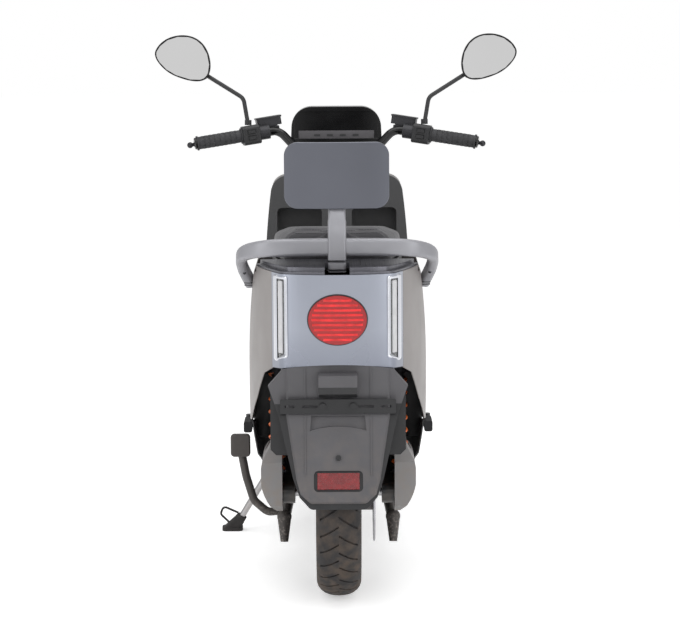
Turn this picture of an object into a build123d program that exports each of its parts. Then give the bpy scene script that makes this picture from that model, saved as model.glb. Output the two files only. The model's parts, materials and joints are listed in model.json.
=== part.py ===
from build123d import *
from math import atan2, cos, degrees, hypot, pi, radians, sin, sqrt, tan
import os

# Battery moped scooter with a hub motor in the rear wheel.
# Millimetres. +Y is the way it rides, +X its right-hand side, +Z up.
# The origin lies on the ground, below the middle of the overall box.

# ---------------------------------------------------------------- driving sizes
wheelbase = 1320.0
front_tyre_radius = 233.5
front_tyre_width = 90.0
rear_tyre_radius = 232.5
rear_tyre_width = 100.0
rim_radius = 160.0
tyre_wall = 9.0
tread_flat = 15.0

# The wheels stand so that the front tyre and the mudguard tip close the box evenly.
front_axle_y = 680.0
rear_axle_y = front_axle_y - wheelbase
tail_end_y = -(front_axle_y + front_tyre_radius)

# Steering
rake = 24.0
trail = 80.0
fork_half_span = 84.0
stanchion_radius = 15.0
slider_radius = 20.0
head_tube_low = 372.0
head_tube_length = 190.0
head_tube_radius = 27.0
head_tube_wall = 4.0
steerer_radius = 14.0

# Handlebar
bar_radius = 11.0
bar_half_span = 366.0
bar_clamp_height = 925.0
bar_centre_y = 350.0
grip_length = 122.0
grip_radius = 16.5
switch_length = 46.0

# Seat and body
seat_top = 828.0
seat_bottom = 742.0
seat_half_width = 152.0
seat_front_y = 20.0
seat_rear_y = -640.0
body_half_width = 204.0
body_wall = 3.0
tail_half_width = 147.0
tail_rear_y = -858.0
tail_panel_low = 540.0
tail_panel_rise = 16.5
panel_gap = 2.0

# Running gear
swing_pivot_y = -285.0
swing_pivot_z = 268.0
swing_arm_x = 112.0
shock_x = 140.0
shock_top = (-560.0, 540.0)
shock_low = (-598.0, 246.0)

# Leg shield and front apron
shield_low = 330.0
shield_high = bar_clamp_height - 43.0
shield_top_y, shield_low_y = 342.0, 350.0
shield_top_half, shield_half = 168.0, 190.0
shield_rim = 30.0
shield_wall = 3.0
apron_front_y = 612.0

# General
floor_top = 302.0
floor_half_width = 172.0
floor_wall = 3.0
flange_low = 732.0
flange_thickness = 3.0
ground_clearance = 165.0
seat_gap = 0.3


# ---------------------------------------------------------------- helpers
def block(x_span, y_span, z_span):
    """A box given by its two limits along each axis."""
    size = [abs(b - a) for a, b in (x_span, y_span, z_span)]
    middle = [(a + b) / 2 for a, b in (x_span, y_span, z_span)]
    return Pos(*middle) * Box(*size)


def rod(start, end, radius):
    """A round bar from one point to another."""
    line = Vector(*end) - Vector(*start)
    plane = Plane(origin=start, z_dir=line.normalized())
    return plane * Cylinder(radius, line.length, align=(Align.CENTER, Align.CENTER, Align.MIN))


def ring(start, end, outer, inner):
    """A round tube from one point to another."""
    return rod(start, end, outer) - rod(start, end, inner)


def cross_rod(x_span, y, z, radius):
    """A round bar across the scooter."""
    return rod((x_span[0], y, z), (x_span[1], y, z), radius)


def pipe(points, bends, radius, bore=0.0):
    """A round tube bent along straight runs joined by arcs."""
    route = FilletPolyline(*points, radius=bends) if len(points) > 2 else Line(*points)
    start = Plane(origin=route @ 0, z_dir=route % 0)
    section = start * Circle(radius)
    if bore:
        section -= start * Circle(bore)
    return sweep(section, path=route)


def other_side(shape):
    """The same shape on the other side of the scooter."""
    return mirror(shape, about=Plane.YZ)


def both_sides(shape):
    """A shape and its twin on the other side."""
    return shape + other_side(shape)


def side_profile(points, x_span):
    """An outline in the side view (y, z), thickened across the scooter."""
    outline = make_face(Polyline(*[(x_span[0], y, z) for y, z in points], close=True))
    return extrude(outline, amount=x_span[1] - x_span[0], dir=(1, 0, 0))


def rear_profile(points, y_span):
    """An outline in the rear view (x, z), thickened along the scooter."""
    outline = make_face(Polyline(*[(x, y_span[0], z) for x, z in points], close=True))
    return extrude(outline, amount=y_span[1] - y_span[0], dir=(0, 1, 0))


def rounded_rear_profile(width, height, corner, y_span, centre=(0.0, 0.0)):
    """A rounded rectangle in the rear view, thickened along the scooter."""
    plane = Plane(origin=(centre[0], y_span[0], centre[1]), x_dir=(1, 0, 0), z_dir=(0, -1, 0))
    return extrude(plane * RectangleRounded(width, height, corner), amount=y_span[0] - y_span[1])


parts = {}


def keep(name, *shapes):
    """File one or more solids under a node's name."""
    solids = [s for shape in shapes for s in shape.solids()]
    parts[name] = solids[0] if len(solids) == 1 else Compound(children=solids)


# ---------------------------------------------------------------- wheels
bead_seat = 0.05
flange_height = 11.0
flange_thickness = 4.5
rim_wall = 5.0
rim_well = 17.0
motor_radius = 104.0
motor_half_width = 30.0
axle_radius = 8.0
bearing_fit = 0.05
disc_thickness = 4.0
rear_disc_radius = 110.0
rear_disc_x = 80.0
front_disc_radius = 110.0
front_disc_x = -56.0
spoke_count = 6


def rim_half(width):
    """Half the distance between a rim's flanges."""
    return width / 2 - 18.0


def tyre_section(radius, width, wall):
    """One closed outline of a tyre, shrunk inwards by a wall."""
    half, seat = rim_half(width) - wall, rim_radius + bead_seat
    crown, side = radius - wall, width / 2 - wall
    height = crown - seat
    flank = Spline(
        (half, seat + flange_height),
        (side, seat + 0.5 * height),
        (0.84 * side, crown - 15.0),
        (tread_flat, crown),
        tangents=((0.6, 1.0), (-1.0, 0.12)),
    )
    foot = Polyline((0, seat), (half, seat), (half, seat + flange_height))
    top = Line((tread_flat, crown), (0, crown))
    edges = [foot, flank, top]
    edges += [mirror(edge, about=Plane.YZ) for edge in edges]
    return Plane.XZ * make_face(Curve() + edges)


def tyre(radius, width):
    """A hollow tyre with beads, sidewalls and a nearly flat crown."""
    outer = revolve(tyre_section(radius, width, 0.0), axis=Axis.X)
    inner = revolve(tyre_section(radius, width, tyre_wall), axis=Axis.X)
    return outer - inner


def rim_ring(width):
    """A cast rim with a drop well and two flanges."""
    half = rim_half(width)
    lip, well = rim_radius + flange_height, rim_radius - rim_well
    right = [
        (0, well),
        (8, well),
        (14, rim_radius),
        (half, rim_radius),
        (half, lip),
        (half + flange_thickness, lip),
        (half + flange_thickness, rim_radius - rim_wall),
        (14 + rim_wall, rim_radius - rim_wall),
        (8 + rim_wall, well - rim_wall),
        (0, well - rim_wall),
    ]
    left = [(-x, r) for x, r in reversed(right[1:-1])]
    outline = Plane.XZ * make_face(Polyline(*right, *left, close=True))
    return revolve(outline, axis=Axis.X)


def spokes(count, root_radius, tip_radius, root_width, tip_width, depth):
    """Tapered cast spokes spaced evenly round the axle."""
    plane = Plane.YZ.offset(-depth / 2)
    blade = plane * make_face(
        Polyline(
            (-root_width / 2, root_radius),
            (root_width / 2, root_radius),
            (tip_width / 2, tip_radius),
            (-tip_width / 2, tip_radius),
            close=True,
        )
    )
    one = extrude(blade, amount=depth)
    return [Rot(360 * turn / count, 0, 0) * one for turn in range(count)]


def hub_bolts(count, circle, x_span, radius):
    """A ring of round bolt heads or holes about the axle."""
    one = cross_rod(x_span, 0, circle, radius)
    return [Rot(360 * (turn + 0.5) / count, 0, 0) * one for turn in range(count)]


def brake_disc(radius, x_middle, bolt_circle):
    """A ventilated disc: ring, carrier, bolt holes and two rows of vent holes."""
    x_span = (x_middle - disc_thickness / 2, x_middle + disc_thickness / 2)
    disc = cross_rod(x_span, 0, 0, radius)
    disc -= cross_rod(x_span, 0, 0, bolt_circle - 12.0)
    disc -= hub_bolts(5, bolt_circle, x_span, 4.0)
    windows = side_profile([(-15, 50), (15, 50), (19, 68), (-19, 68)], x_span)
    disc -= [Rot(72 * turn, 0, 0) * windows for turn in range(5)]
    vents = [Rot(30 * turn, 0, 0) * cross_rod(x_span, 0, 88, 3.5) for turn in range(12)]
    vents += [Rot(30 * turn + 15, 0, 0) * cross_rod(x_span, 0, 99, 3.5) for turn in range(12)]
    return disc - vents


rear_wheel = Pos(0, rear_axle_y, rear_tyre_radius)
front_wheel = Pos(0, front_axle_y, front_tyre_radius)

keep("rear_tyre", rear_wheel * tyre(rear_tyre_radius, rear_tyre_width))
keep("front_tyre", front_wheel * tyre(front_tyre_radius, front_tyre_width))

# Rear wheel: a cast rim round the motor's drum, closed by two bolted side covers.
drum_wall = 8.0
cover_thickness = 6.0
drum = ring((-motor_half_width, 0, 0), (motor_half_width, 0, 0), motor_radius, motor_radius - drum_wall)
rear_rim = rim_ring(rear_tyre_width) + drum
rear_rim += spokes(spoke_count, motor_radius - 3, rim_radius - rim_well - 3, 46, 34, 34)

stator_radius = motor_radius - drum_wall - 3.0
stator_half_width = 20.0


def motor_cover(hub_reach):
    """A domed side cover with cooling ribs and a bearing hub."""
    inner, outer = motor_half_width, motor_half_width + cover_thickness
    cover = cross_rod((inner, outer), 0, 0, motor_radius - 0.5)
    cover = chamfer(cover.edges().group_by(Axis.X)[-1], 3.0)
    cover += cross_rod((inner, hub_reach), 0, 0, 40)
    fins = [Rot(30 * turn, 0, 0) * block((outer - 1, outer + 4), (-2, 2), (38, 88)) for turn in range(12)]
    cover += fins
    cover += hub_bolts(6, motor_radius - 8, (outer - 1, outer + 3), 5)
    return cover - cross_rod((inner, hub_reach), 0, 0, axle_radius + bearing_fit)


disc_seat_x = rear_disc_x - disc_thickness / 2
left_cover = other_side(motor_cover(50.0))
keep("rear_rim", rear_wheel * rear_rim, rear_wheel * motor_cover(disc_seat_x), rear_wheel * left_cover)
keep("rear_disc", rear_wheel * brake_disc(rear_disc_radius, rear_disc_x, 30.0))


# ---------------------------------------------------------------- swingarm and shocks
arm_thickness = 28.0
arm_inner_x = swing_arm_x - arm_thickness / 2
arm_outer_x = swing_arm_x + arm_thickness / 2
pivot_bolt_radius = 8.0
pivot_boss_radius = 25.0
axle_boss_radius = 24.0
pivot = (swing_pivot_y, swing_pivot_z)
axle = (rear_axle_y, rear_tyre_radius)
stud_radius = 6.0
eye_radius = 15.0
eye_bore = 6.1
open_eye_bore = 8.0
eye_width = 22.0
spring_radius = 19.0
spring_wire = 3.6
spring_turns = 8


def toward(start, end, distance):
    """The point (y, z) a distance along the way from one point to another."""
    length = hypot(end[0] - start[0], end[1] - start[1])
    return tuple(s + (e - s) * distance / length for s, e in zip(start, end))


def tangent_bar(start, start_radius, end, end_radius, x_span):
    """A flat bar in the side view whose edges touch a circle at each end."""
    angle = atan2(end[1] - start[1], end[0] - start[0])
    normal = (-sin(angle), cos(angle))
    points = [
        (start[0] + side * normal[0] * start_radius, start[1] + side * normal[1] * start_radius)
        for side in (1, -1)
    ]
    points += [
        (end[0] + side * normal[0] * end_radius, end[1] + side * normal[1] * end_radius)
        for side in (-1, 1)
    ]
    bar = side_profile(points, x_span)
    return bar + cross_rod(x_span, *start, start_radius) + cross_rod(x_span, *end, end_radius)


arm_span = (arm_inner_x, arm_outer_x)
arm = tangent_bar(pivot, pivot_boss_radius, axle, axle_boss_radius, arm_span)
window_ends = (toward(pivot, axle, 75), toward(pivot, axle, 285))
arm_window = tangent_bar(window_ends[0], 11, window_ends[1], 11, (arm_outer_x - 6, arm_outer_x))
arm -= arm_window
shock_stud = cross_rod((arm_outer_x - 8, shock_x + eye_width / 2 + 5), *shock_low, stud_radius)
swingarm = both_sides(arm + shock_stud)
bridge = toward(pivot, axle, 88)
arm_middle = (-swing_arm_x, swing_arm_x)
swingarm = swingarm + cross_rod(arm_middle, *bridge, 17) + cross_rod(arm_middle, *pivot, 19)
swingarm -= cross_rod((-arm_outer_x, arm_outer_x), *pivot, pivot_bolt_radius + bearing_fit)
swingarm -= cross_rod((-arm_outer_x, arm_outer_x), *axle, axle_radius)

nut_height = 9.0
nut_span = 24.0


def nut(x_start, y, z, across=nut_span, height=nut_height):
    """A hexagon nut whose axis lies across the scooter."""
    plane = Plane(origin=(x_start, y, z), z_dir=(1, 0, 0))
    return extrude(plane * RegularPolygon(across / 2, 6, major_radius=False), amount=height)


axle_end = arm_outer_x + nut_height + 4
axle_bar = cross_rod((-axle_end, axle_end), *axle, axle_radius)
axle_nuts = nut(arm_outer_x, *axle) + nut(-arm_outer_x - nut_height, *axle)
stator = cross_rod((-stator_half_width, stator_half_width), *axle, stator_radius)
keep("rear_axle", axle_bar + axle_nuts + stator)

# Shocks: the upper half hangs from the frame, the rod slides in it, the lower eye stays open.
shock_length = hypot(shock_top[0] - shock_low[0], shock_top[1] - shock_low[1])
shock_lean = degrees(atan2(shock_top[0] - shock_low[0], shock_top[1] - shock_low[1]))
damper_radius = 10.5
rod_radius = 6.0
damper_length = 128.0
spring_seat = 5.0
upper_seat_height = shock_length - 28.0
lower_seat_height = 30.0


def shock_place(x):
    """The lower eye of a shock, with its own Z along the shock."""
    return Pos(x, *shock_low) * Rot(-shock_lean, 0, 0)


def eye(height, bore):
    """A mounting eye across the shock at a height above its lower end."""
    half, through = eye_width / 2, eye_width
    bush = rod((-half, 0, height), (half, 0, height), eye_radius)
    return bush, rod((-through, 0, height), (through, 0, height), bore)


def shock_upper():
    """Top eye, spring seat and damper body."""
    bush, bore = eye(shock_length, eye_bore)
    body = rod((0, 0, upper_seat_height - damper_length), (0, 0, shock_length), damper_radius)
    seat = rod((0, 0, upper_seat_height), (0, 0, upper_seat_height + spring_seat), spring_radius + 3)
    cup_reach = ((0, 0, upper_seat_height - 16), (0, 0, upper_seat_height))
    cup = ring(*cup_reach, spring_radius + 3, spring_radius + 1)
    channel_low = upper_seat_height - damper_length - 1
    channel = rod((0, 0, channel_low), (0, 0, shock_length - 32), rod_radius + bearing_fit)
    return (bush + body + seat + cup - channel) - bore


def shock_rod():
    """Bottom eye, spring seat and the rod that slides in the damper."""
    bush, bore = eye(0, open_eye_bore)
    neck = rod((0, 0, eye_radius - 3), (0, 0, lower_seat_height), 9)
    seat = rod((0, 0, lower_seat_height - spring_seat), (0, 0, lower_seat_height), spring_radius + 3)
    bar = rod((0, 0, lower_seat_height - 1), (0, 0, upper_seat_height - 62), rod_radius)
    return bush + neck + seat + bar - bore


def shock_spring():
    """A coil spring between the two seats."""
    free = upper_seat_height - lower_seat_height - 2 * spring_wire - 0.4
    path = Helix(pitch=free / spring_turns, height=free, radius=spring_radius - spring_wire)
    start = Plane(origin=path @ 0, z_dir=path % 0)
    coil = sweep(start * Circle(spring_wire), path=path, is_frenet=True)
    return Pos(0, 0, lower_seat_height + spring_wire + 0.2) * coil


shock_shapes = {"shock_bodies": shock_upper(), "shock_rods": shock_rod(), "shock_springs": shock_spring()}
for node, shape in shock_shapes.items():
    keep(node, *[shock_place(x) * shape for x in (-shock_x, shock_x)])

# Swingarm covers: moulded shells that hide the arm's tail and the shock's foot.
cover_inner_x = arm_outer_x + seat_gap
cover_outer_x = 174.0
cover_rear_y = -694.0
cover_front_y = -430.0
cover_wall = 3.0
cover_low, cover_high = 192.0, 372.0


def arm_cover_form(inset):
    """A tapered pod with a narrow neck, bulging outwards."""
    low, high = cover_low + inset, cover_high - inset
    neck_in, neck_out = cover_inner_x + 6 + inset, cover_inner_x + 28 - inset
    shoulder_x = cover_outer_x - 5 - inset
    rear, front = cover_rear_y + inset, cover_front_y - inset
    outline = [
        (rear + 12, low + 18),
        (rear + 46, low),
        (front - 60, low + 22),
        (front, low + 62),
        (front - 14, high - 66),
        (rear + 96, high - 24),
        (rear + 84, high),
        (rear + 34, high),
        (rear, high - 60),
    ]
    pod = side_profile(outline, (cover_inner_x - 12, cover_outer_x - inset))
    crown = Plane.XZ.offset(-front) * make_face(
        Curve()
        + [
            Polyline(
                (neck_in, high + 1),
                (neck_in, high - 34),
                (cover_inner_x - 12, high - 44),
                (cover_inner_x - 12, low - 1),
                (cover_inner_x + 12, low - 1),
            ),
            ThreePointArc(
                (cover_inner_x + 12, low - 1),
                (cover_outer_x - inset, 0.5 * (low + high) - 22),
                (shoulder_x, high - 54),
            ),
            Polyline(
                (shoulder_x, high - 54),
                (neck_out, high - 28),
                (neck_out - 3, high + 1),
                (neck_in, high + 1),
            ),
        ]
    )
    return pod & extrude(crown, amount=front - rear)


arm_cover = arm_cover_form(0.0) - arm_cover_form(cover_wall)
arm_cover -= block((0, cover_inner_x), (cover_rear_y - 1, cover_front_y + 1), (100, 400))
shock_mouth = shock_place(shock_x) * Cylinder(spring_radius + 8, 2 * shock_length)
arm_cover -= shock_mouth & block((100, 200), (-700, -400), (262, 600))
arm_cover -= cross_rod((arm_outer_x, cover_outer_x), *axle, 15) & block((0, 500), (-900, 0), (0, 500))
keep("swingarm_covers", arm_cover, other_side(arm_cover))

# Rear caliper, carried by the right arm ahead of the axle, over the disc.
caliper_angle = 62.0
caliper_reach = rear_disc_radius - 16.0
caliper_half_gap = disc_thickness / 2 + 0.8
pad_thickness = 6.0


def caliper(x_disc, toward_arm, arm_reach):
    """A two-part caliper body with pads astride a disc, its axle at the origin."""
    outer = 17.0
    body = block((x_disc - outer, x_disc + outer), (-38, 38), (-21, 30))
    body = chamfer(body.edges().filter_by(Axis.X), 7)
    slot = block((x_disc - caliper_half_gap - pad_thickness, x_disc + caliper_half_gap + pad_thickness),
                 (-26, 26), (-40, 18))
    body -= slot
    body -= block((x_disc - caliper_half_gap, x_disc + caliper_half_gap), (-60, 60), (-40, 18))
    lug_span = sorted((x_disc + toward_arm * outer, arm_reach))
    body += block(lug_span, (-16, 16), (-14, 14))
    return Pos(0, 0, caliper_reach) * body


rear_caliper = rear_wheel * Rot(-caliper_angle, 0, 0) * caliper(rear_disc_x, 1, arm_inner_x)
keep("swingarm", swingarm, rear_caliper)


# ---------------------------------------------------------------- frame
head_foot_y = front_axle_y + trail
steer = Plane(
    origin=(0, head_foot_y - front_tyre_radius * tan(radians(rake)), front_tyre_radius),
    x_dir=(1, 0, 0),
    z_dir=(0, -sin(radians(rake)), cos(radians(rake))),
)
fork_offset = (front_axle_y - steer.origin.Y) * cos(radians(rake))
axle_drop = -(front_axle_y - steer.origin.Y) * sin(radians(rake))


def on_steer(x, y, z):
    """A point given in the steering's own frame, in the scooter's frame."""
    return tuple(steer.from_local_coords((x, y, z)))


rail_radius = 16.0
rail_half_span = 105.0
seat_rail_x = 128.0
rail_z = 215.0
rail_front_y = 300.0
rail_rear_y = -170.0
knee_y, knee_z = -400.0, 560.0
rail_tail_y, rail_tail_z = -742.0, 640.0
spine_radius = 22.0
plate_inner_x = arm_outer_x + 2.0
plate_thickness = 8.0
plate_outer_x = plate_inner_x + plate_thickness
stand_pivot_y = -300.0
stand_pivot_z = 213.0
stand_tube_radius = 13.0
stand_bolt_radius = 6.0

head_low = on_steer(0, 0, head_tube_low)
head_high = on_steer(0, 0, head_tube_low + head_tube_length)
head_tube = rod(head_low, head_high, head_tube_radius)
head_bore = rod(
    on_steer(0, 0, head_tube_low - 1),
    on_steer(0, 0, head_tube_low + head_tube_length + 1),
    head_tube_radius - head_tube_wall,
)
spine_top = on_steer(0, -10, head_tube_low + 0.4 * head_tube_length)
spine_route = [
    spine_top,
    (0, spine_top[1] - 70, spine_top[2] - 75),
    (0, rail_front_y + 84, 330),
    (0, rail_front_y + 6, rail_z + 6),
]
spine = pipe(spine_route, [60, 70], spine_radius)
head_cross = cross_rod((-rail_half_span, rail_half_span), rail_front_y, rail_z, rail_radius + 3)
rail_route = [
    (rail_half_span, rail_front_y, rail_z),
    (rail_half_span, rail_rear_y, rail_z),
    (seat_rail_x, knee_y, knee_z),
    (seat_rail_x, rail_tail_y, rail_tail_z),
]
rail = pipe(rail_route, [90, 110], rail_radius)
pivot_plate = side_profile(
    [
        (-165, rail_z - 20),
        (stand_pivot_y + 60, rail_z - 24),
        (stand_pivot_y, stand_pivot_z - 22),
        (stand_pivot_y - 22, stand_pivot_z),
        (swing_pivot_y - 26, swing_pivot_z + 8),
        (swing_pivot_y, swing_pivot_z + 28),
        (-262, 355),
        (-238, 350),
        (-190, 290),
    ],
    (plate_inner_x, plate_outer_x),
)
plate_root = side_profile(
    [(-168, rail_z - 12), (-215, rail_z - 12), (-232, 270), (-252, 348), (-240, 344), (-192, 286)],
    (rail_half_span + 6, plate_inner_x + 2),
)
shock_plate_x = seat_rail_x - 21
shock_plate = side_profile(
    [
        (shock_top[0] - 18, shock_top[1] - 16),
        (shock_top[0] + 18, shock_top[1] - 16),
        (shock_top[0] + 34, shock_top[1] + 48),
        (shock_top[0] - 34, shock_top[1] + 64),
    ],
    (shock_plate_x, shock_plate_x + 8),
)
shock_pin = cross_rod((shock_plate_x, shock_x + eye_width / 2 + 5), *shock_top, stud_radius)
side_frame = rail + pivot_plate + plate_root + shock_plate + shock_pin
main_frame = both_sides(side_frame)
tie_slope = (rail_tail_z - knee_z) / (rail_tail_y - knee_y)
tie_y = knee_y - 78.0
tie_z = knee_z + tie_slope * (tie_y - knee_y)
for y, z, x in ((rail_rear_y + 20, rail_z, rail_half_span), (tie_y, tie_z, seat_rail_x)):
    main_frame += cross_rod((-x, x), y, z, 11)
main_frame += cross_rod((-seat_rail_x, seat_rail_x), rail_tail_y + 12, rail_tail_z - 2, 11)
main_frame = main_frame + head_cross + spine + head_tube - head_bore

# Posts on the rails that carry the bucket's flange and the floorboard, and a boss for the leg shield.
post_radius = 8.0
post_y = -430.0
post_foot_z = knee_z + tie_slope * (post_y - knee_y)
post_top = (seat_rail_x, post_y, flange_low - seat_gap)
bucket_post = rod((seat_rail_x, post_y, post_foot_z), post_top, post_radius)
floor_posts = [
    rod((rail_half_span, y, rail_z), (rail_half_span, y, floor_top - floor_wall - seat_gap), post_radius)
    for y in (10.0, 220.0)
]
main_frame += both_sides(bucket_post) + [both_sides(post) for post in floor_posts]
boss_z = 470.0
boss_y = shield_top_y + (shield_low_y - shield_top_y) * (shield_high - boss_z) / (shield_high - shield_low)
main_frame += rod((0, rail_front_y + 84, boss_z), (0, boss_y + shield_wall + seat_gap, boss_z), 10)
for y, z, radius in ((*pivot, pivot_bolt_radius), (stand_pivot_y, stand_pivot_z, stand_bolt_radius)):
    main_frame -= cross_rod((-plate_outer_x - 1, plate_outer_x + 1), y, z, radius)

# Passenger peg arms: a bar out of each pivot plate that ends in a clevis with its pin.
peg_y, peg_z = -252.0, 332.0
peg_pin_x = 214.0
peg_arm_radius = 9.0
peg_eye_height = 20.0
peg_pin_radius = 4.0
cheek_height = 5.0
cheek_gap = 0.4
peg_arm = cross_rod((plate_inner_x + 2, peg_pin_x - 13), peg_y, peg_z, peg_arm_radius)
cheek_reach = peg_eye_height / 2 + cheek_gap
peg_arm += block((peg_pin_x - 18, peg_pin_x - 11), (peg_y - 9, peg_y + 9),
                 (peg_z - cheek_reach - cheek_height, peg_z + cheek_reach + cheek_height))
for low in (peg_z + cheek_reach, peg_z - cheek_reach - cheek_height):
    peg_arm += block((peg_pin_x - 12, peg_pin_x), (peg_y - 9, peg_y + 9), (low, low + cheek_height))
    peg_arm += rod((peg_pin_x, peg_y, low), (peg_pin_x, peg_y, low + cheek_height), 9)
pin_reach = cheek_reach + 2
peg_arm += rod((peg_pin_x, peg_y, peg_z - pin_reach), (peg_pin_x, peg_y, peg_z + pin_reach), peg_pin_radius)
main_frame += both_sides(peg_arm)

bolt_end = plate_outer_x + nut_height + 3
pivot_bolt = cross_rod((-bolt_end, bolt_end), *pivot, pivot_bolt_radius)
pivot_bolt += nut(plate_outer_x, *pivot) + nut(-plate_outer_x - nut_height, *pivot)
stand_pivot = (stand_pivot_y, stand_pivot_z)
stand_bolt = cross_rod((-bolt_end, bolt_end), *stand_pivot, stand_bolt_radius)
stand_bolt += nut(plate_outer_x, *stand_pivot, 19, 8) + nut(-plate_outer_x - 8, *stand_pivot, 19, 8)

# ---------------------------------------------------------------- centre stand
stand_foot = (-525.0, 140.0)
stand_leg_radius = 12.0
stand_leg_x = 112.0
stand_spread_x = 126.0
foot_length = 62.0
tang_radius = 9.5

stand_tube = cross_rod((-arm_outer_x, arm_outer_x), *stand_pivot, stand_tube_radius)
leg = pipe(
    [
        (stand_leg_x, *stand_pivot),
        (stand_leg_x + 4, stand_pivot_y - 110, stand_pivot_z - 40),
        (stand_spread_x, *stand_foot),
    ],
    [70],
    stand_leg_radius,
)
brace_y = stand_pivot_y - 66
brace_z = stand_pivot_z - 24
foot_plane = Plane(origin=(stand_spread_x, *stand_foot), x_dir=(1, 0, 0), z_dir=(0, -0.30, -0.95))
foot = foot_plane * Pos(0, 0, -16) * Cone(17, 9, foot_length, align=(Align.CENTER, Align.CENTER, Align.MIN))
foot += foot_plane * Pos(0, 0, -12) * Sphere(17)
centre_stand = both_sides(leg + foot) + stand_tube
centre_stand += cross_rod((-stand_leg_x, stand_leg_x), brace_y, brace_z, 9)
tang_route = [
    (-stand_spread_x + 4, -470, 156),
    (-166, -474, 153),
    (-198, -470, 180),
    (-216, -456, 235),
    (-229, -456, 306),
]
centre_stand += pipe(tang_route, [22, 26, 60], tang_radius)
centre_stand -= cross_rod((-arm_outer_x - 1, arm_outer_x + 1), *stand_pivot, stand_bolt_radius + bearing_fit)
pad = rounded_rear_profile(46, 54, 9, (-477, -465.8), (-228, 311))
pad = fillet(pad.edges().group_by(Axis.Y)[0], 4)
keep("centre_stand", centre_stand, pad)

# ---------------------------------------------------------------- side stand
side_pivot = Vector(-168.0, -8.0, 172.0)
side_foot = Vector(-268.0, 32.0, 0.0)
leg_way = (side_foot - side_pivot).normalized()
folded_way = Vector(-0.14, -0.985, -0.02).normalized()
side_axis = leg_way.cross(folded_way).normalized()
side_plane = Plane(origin=side_pivot, x_dir=leg_way, z_dir=side_axis)
side_length = (side_foot - side_pivot).length
side_leg_radius = 8.0
side_bolt_radius = 5.0

side_stand = side_plane * (Cylinder(15, 12) + Pos(13, 0, 0) * Box(26, 16, 12))
side_stand += side_plane * rod((19, 0, 0), (side_length - 22, 0, 0), side_leg_radius)
side_stand -= side_plane * Cylinder(side_bolt_radius + bearing_fit, 14)
keep("side_stand", side_stand)

shoe_height = 46.0
shoe_top = side_foot - leg_way * shoe_height
shoe = loft(
    [
        Plane(origin=shoe_top, z_dir=leg_way) * Circle(12),
        Pos(side_foot.X - 2, side_foot.Y, 9) * RectangleRounded(44, 40, 9),
    ]
)
shoe += extrude(Pos(side_foot.X - 3, side_foot.Y, 0) * RectangleRounded(52, 44, 12), amount=9)
shoe -= rod(tuple(side_pivot), tuple(side_foot - leg_way * 19), side_leg_radius)
loop_route = [
    (side_foot.X + 12, side_foot.Y, 44),
    (side_foot.X - 26, side_foot.Y + 4, 60),
    (side_foot.X - 34, side_foot.Y + 4, 40),
    (side_foot.X - 6, side_foot.Y, 14),
]
leg_bore = rod(tuple(side_pivot), tuple(side_foot - leg_way * 19), side_leg_radius)
shoe += pipe(loop_route, [9, 9], 2.7) - leg_bore
keep("side_stand_shoe", shoe)

bracket_gap = 6.0 + 0.4
cheek = Cylinder(17, 5) + Pos(-6, -28, 0) * Box(46, 40, 5)
side_bracket = side_plane * (Pos(0, 0, bracket_gap + 2.5) * cheek + Pos(0, 0, -bracket_gap - 2.5) * cheek)
side_bracket += side_plane * (Pos(-14, -42, 0) * Box(30, 12, 2 * bracket_gap + 10))
side_bracket -= side_plane * Cylinder(side_bolt_radius, 60)
side_bolt = side_plane * (Cylinder(side_bolt_radius, 30) + Pos(0, 0, 14) * Cylinder(9, 5))
strut_end = side_plane.from_local_coords((-14, -42, 0))
main_frame += side_bracket + rod((-rail_half_span, strut_end.Y, rail_z), tuple(strut_end), 10)
keep("main_frame", main_frame)
pivot_hardware = [pivot_bolt, stand_bolt, side_bolt]


# ---------------------------------------------------------------- fork and front wheel
front_axle_radius = 7.0
yoke_low, yoke_high = 336.0, 366.0
stem_top = 742.0
slider_low, slider_high = axle_drop - 28.0, 262.0
slider_bore_low = 30.0
stanchion_low = 110.0
slide_fit = 0.1
axle_local = (fork_offset, axle_drop)


def steer_rod(x, y, z_span, radius):
    """A round bar along the steering axis, in the steering's own frame."""
    return rod((x, y, z_span[0]), (x, y, z_span[1]), radius)


stanchions = steer_rod(fork_half_span, fork_offset, (stanchion_low, yoke_high), stanchion_radius)
stanchions -= steer_rod(fork_half_span, fork_offset, (stanchion_low, yoke_high - 8), stanchion_radius - 2.5)
yoke = block((-fork_half_span, fork_half_span), (-30, fork_offset + 14), (yoke_low, yoke_high))
yoke += both_sides(steer_rod(fork_half_span, fork_offset, (yoke_low, yoke_high), 24))
yoke -= both_sides(steer_rod(fork_half_span, fork_offset, (yoke_low, yoke_high), stanchion_radius))
yoke -= block((-fork_half_span + 26, -24), (-22, fork_offset + 8), (yoke_low - 1, yoke_high - 8))
yoke -= block((24, fork_half_span - 26), (-22, fork_offset + 8), (yoke_low - 1, yoke_high - 8))
steerer = steer_rod(0, 0, (yoke_low, stem_top), steerer_radius)
lock_nut = steer_rod(0, 0, (head_tube_low + head_tube_length + 7, head_tube_low + head_tube_length + 19), 22)
keep("steering_stem", steer * (yoke + steerer + lock_nut))
keep("fork_stanchions", steer * stanchions, steer * other_side(stanchions))

race_gap = 0.3


def head_bearing(flange_z, body_z):
    """A bearing seated in the head tube, with a flange on its end."""
    seat = steer_rod(0, 0, body_z, head_tube_radius - head_tube_wall)
    bore = steer_rod(0, 0, (300, 700), steerer_radius + bearing_fit)
    return seat + steer_rod(0, 0, flange_z, head_tube_radius) - bore


tube_top = head_tube_low + head_tube_length
low_bearing = head_bearing((yoke_high + race_gap, head_tube_low), (head_tube_low, head_tube_low + 14))
high_bearing = head_bearing((tube_top, tube_top + 6.5), (tube_top - 14, tube_top))
keep("pivot_hardware", *pivot_hardware, steer * low_bearing, steer * high_bearing)


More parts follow.
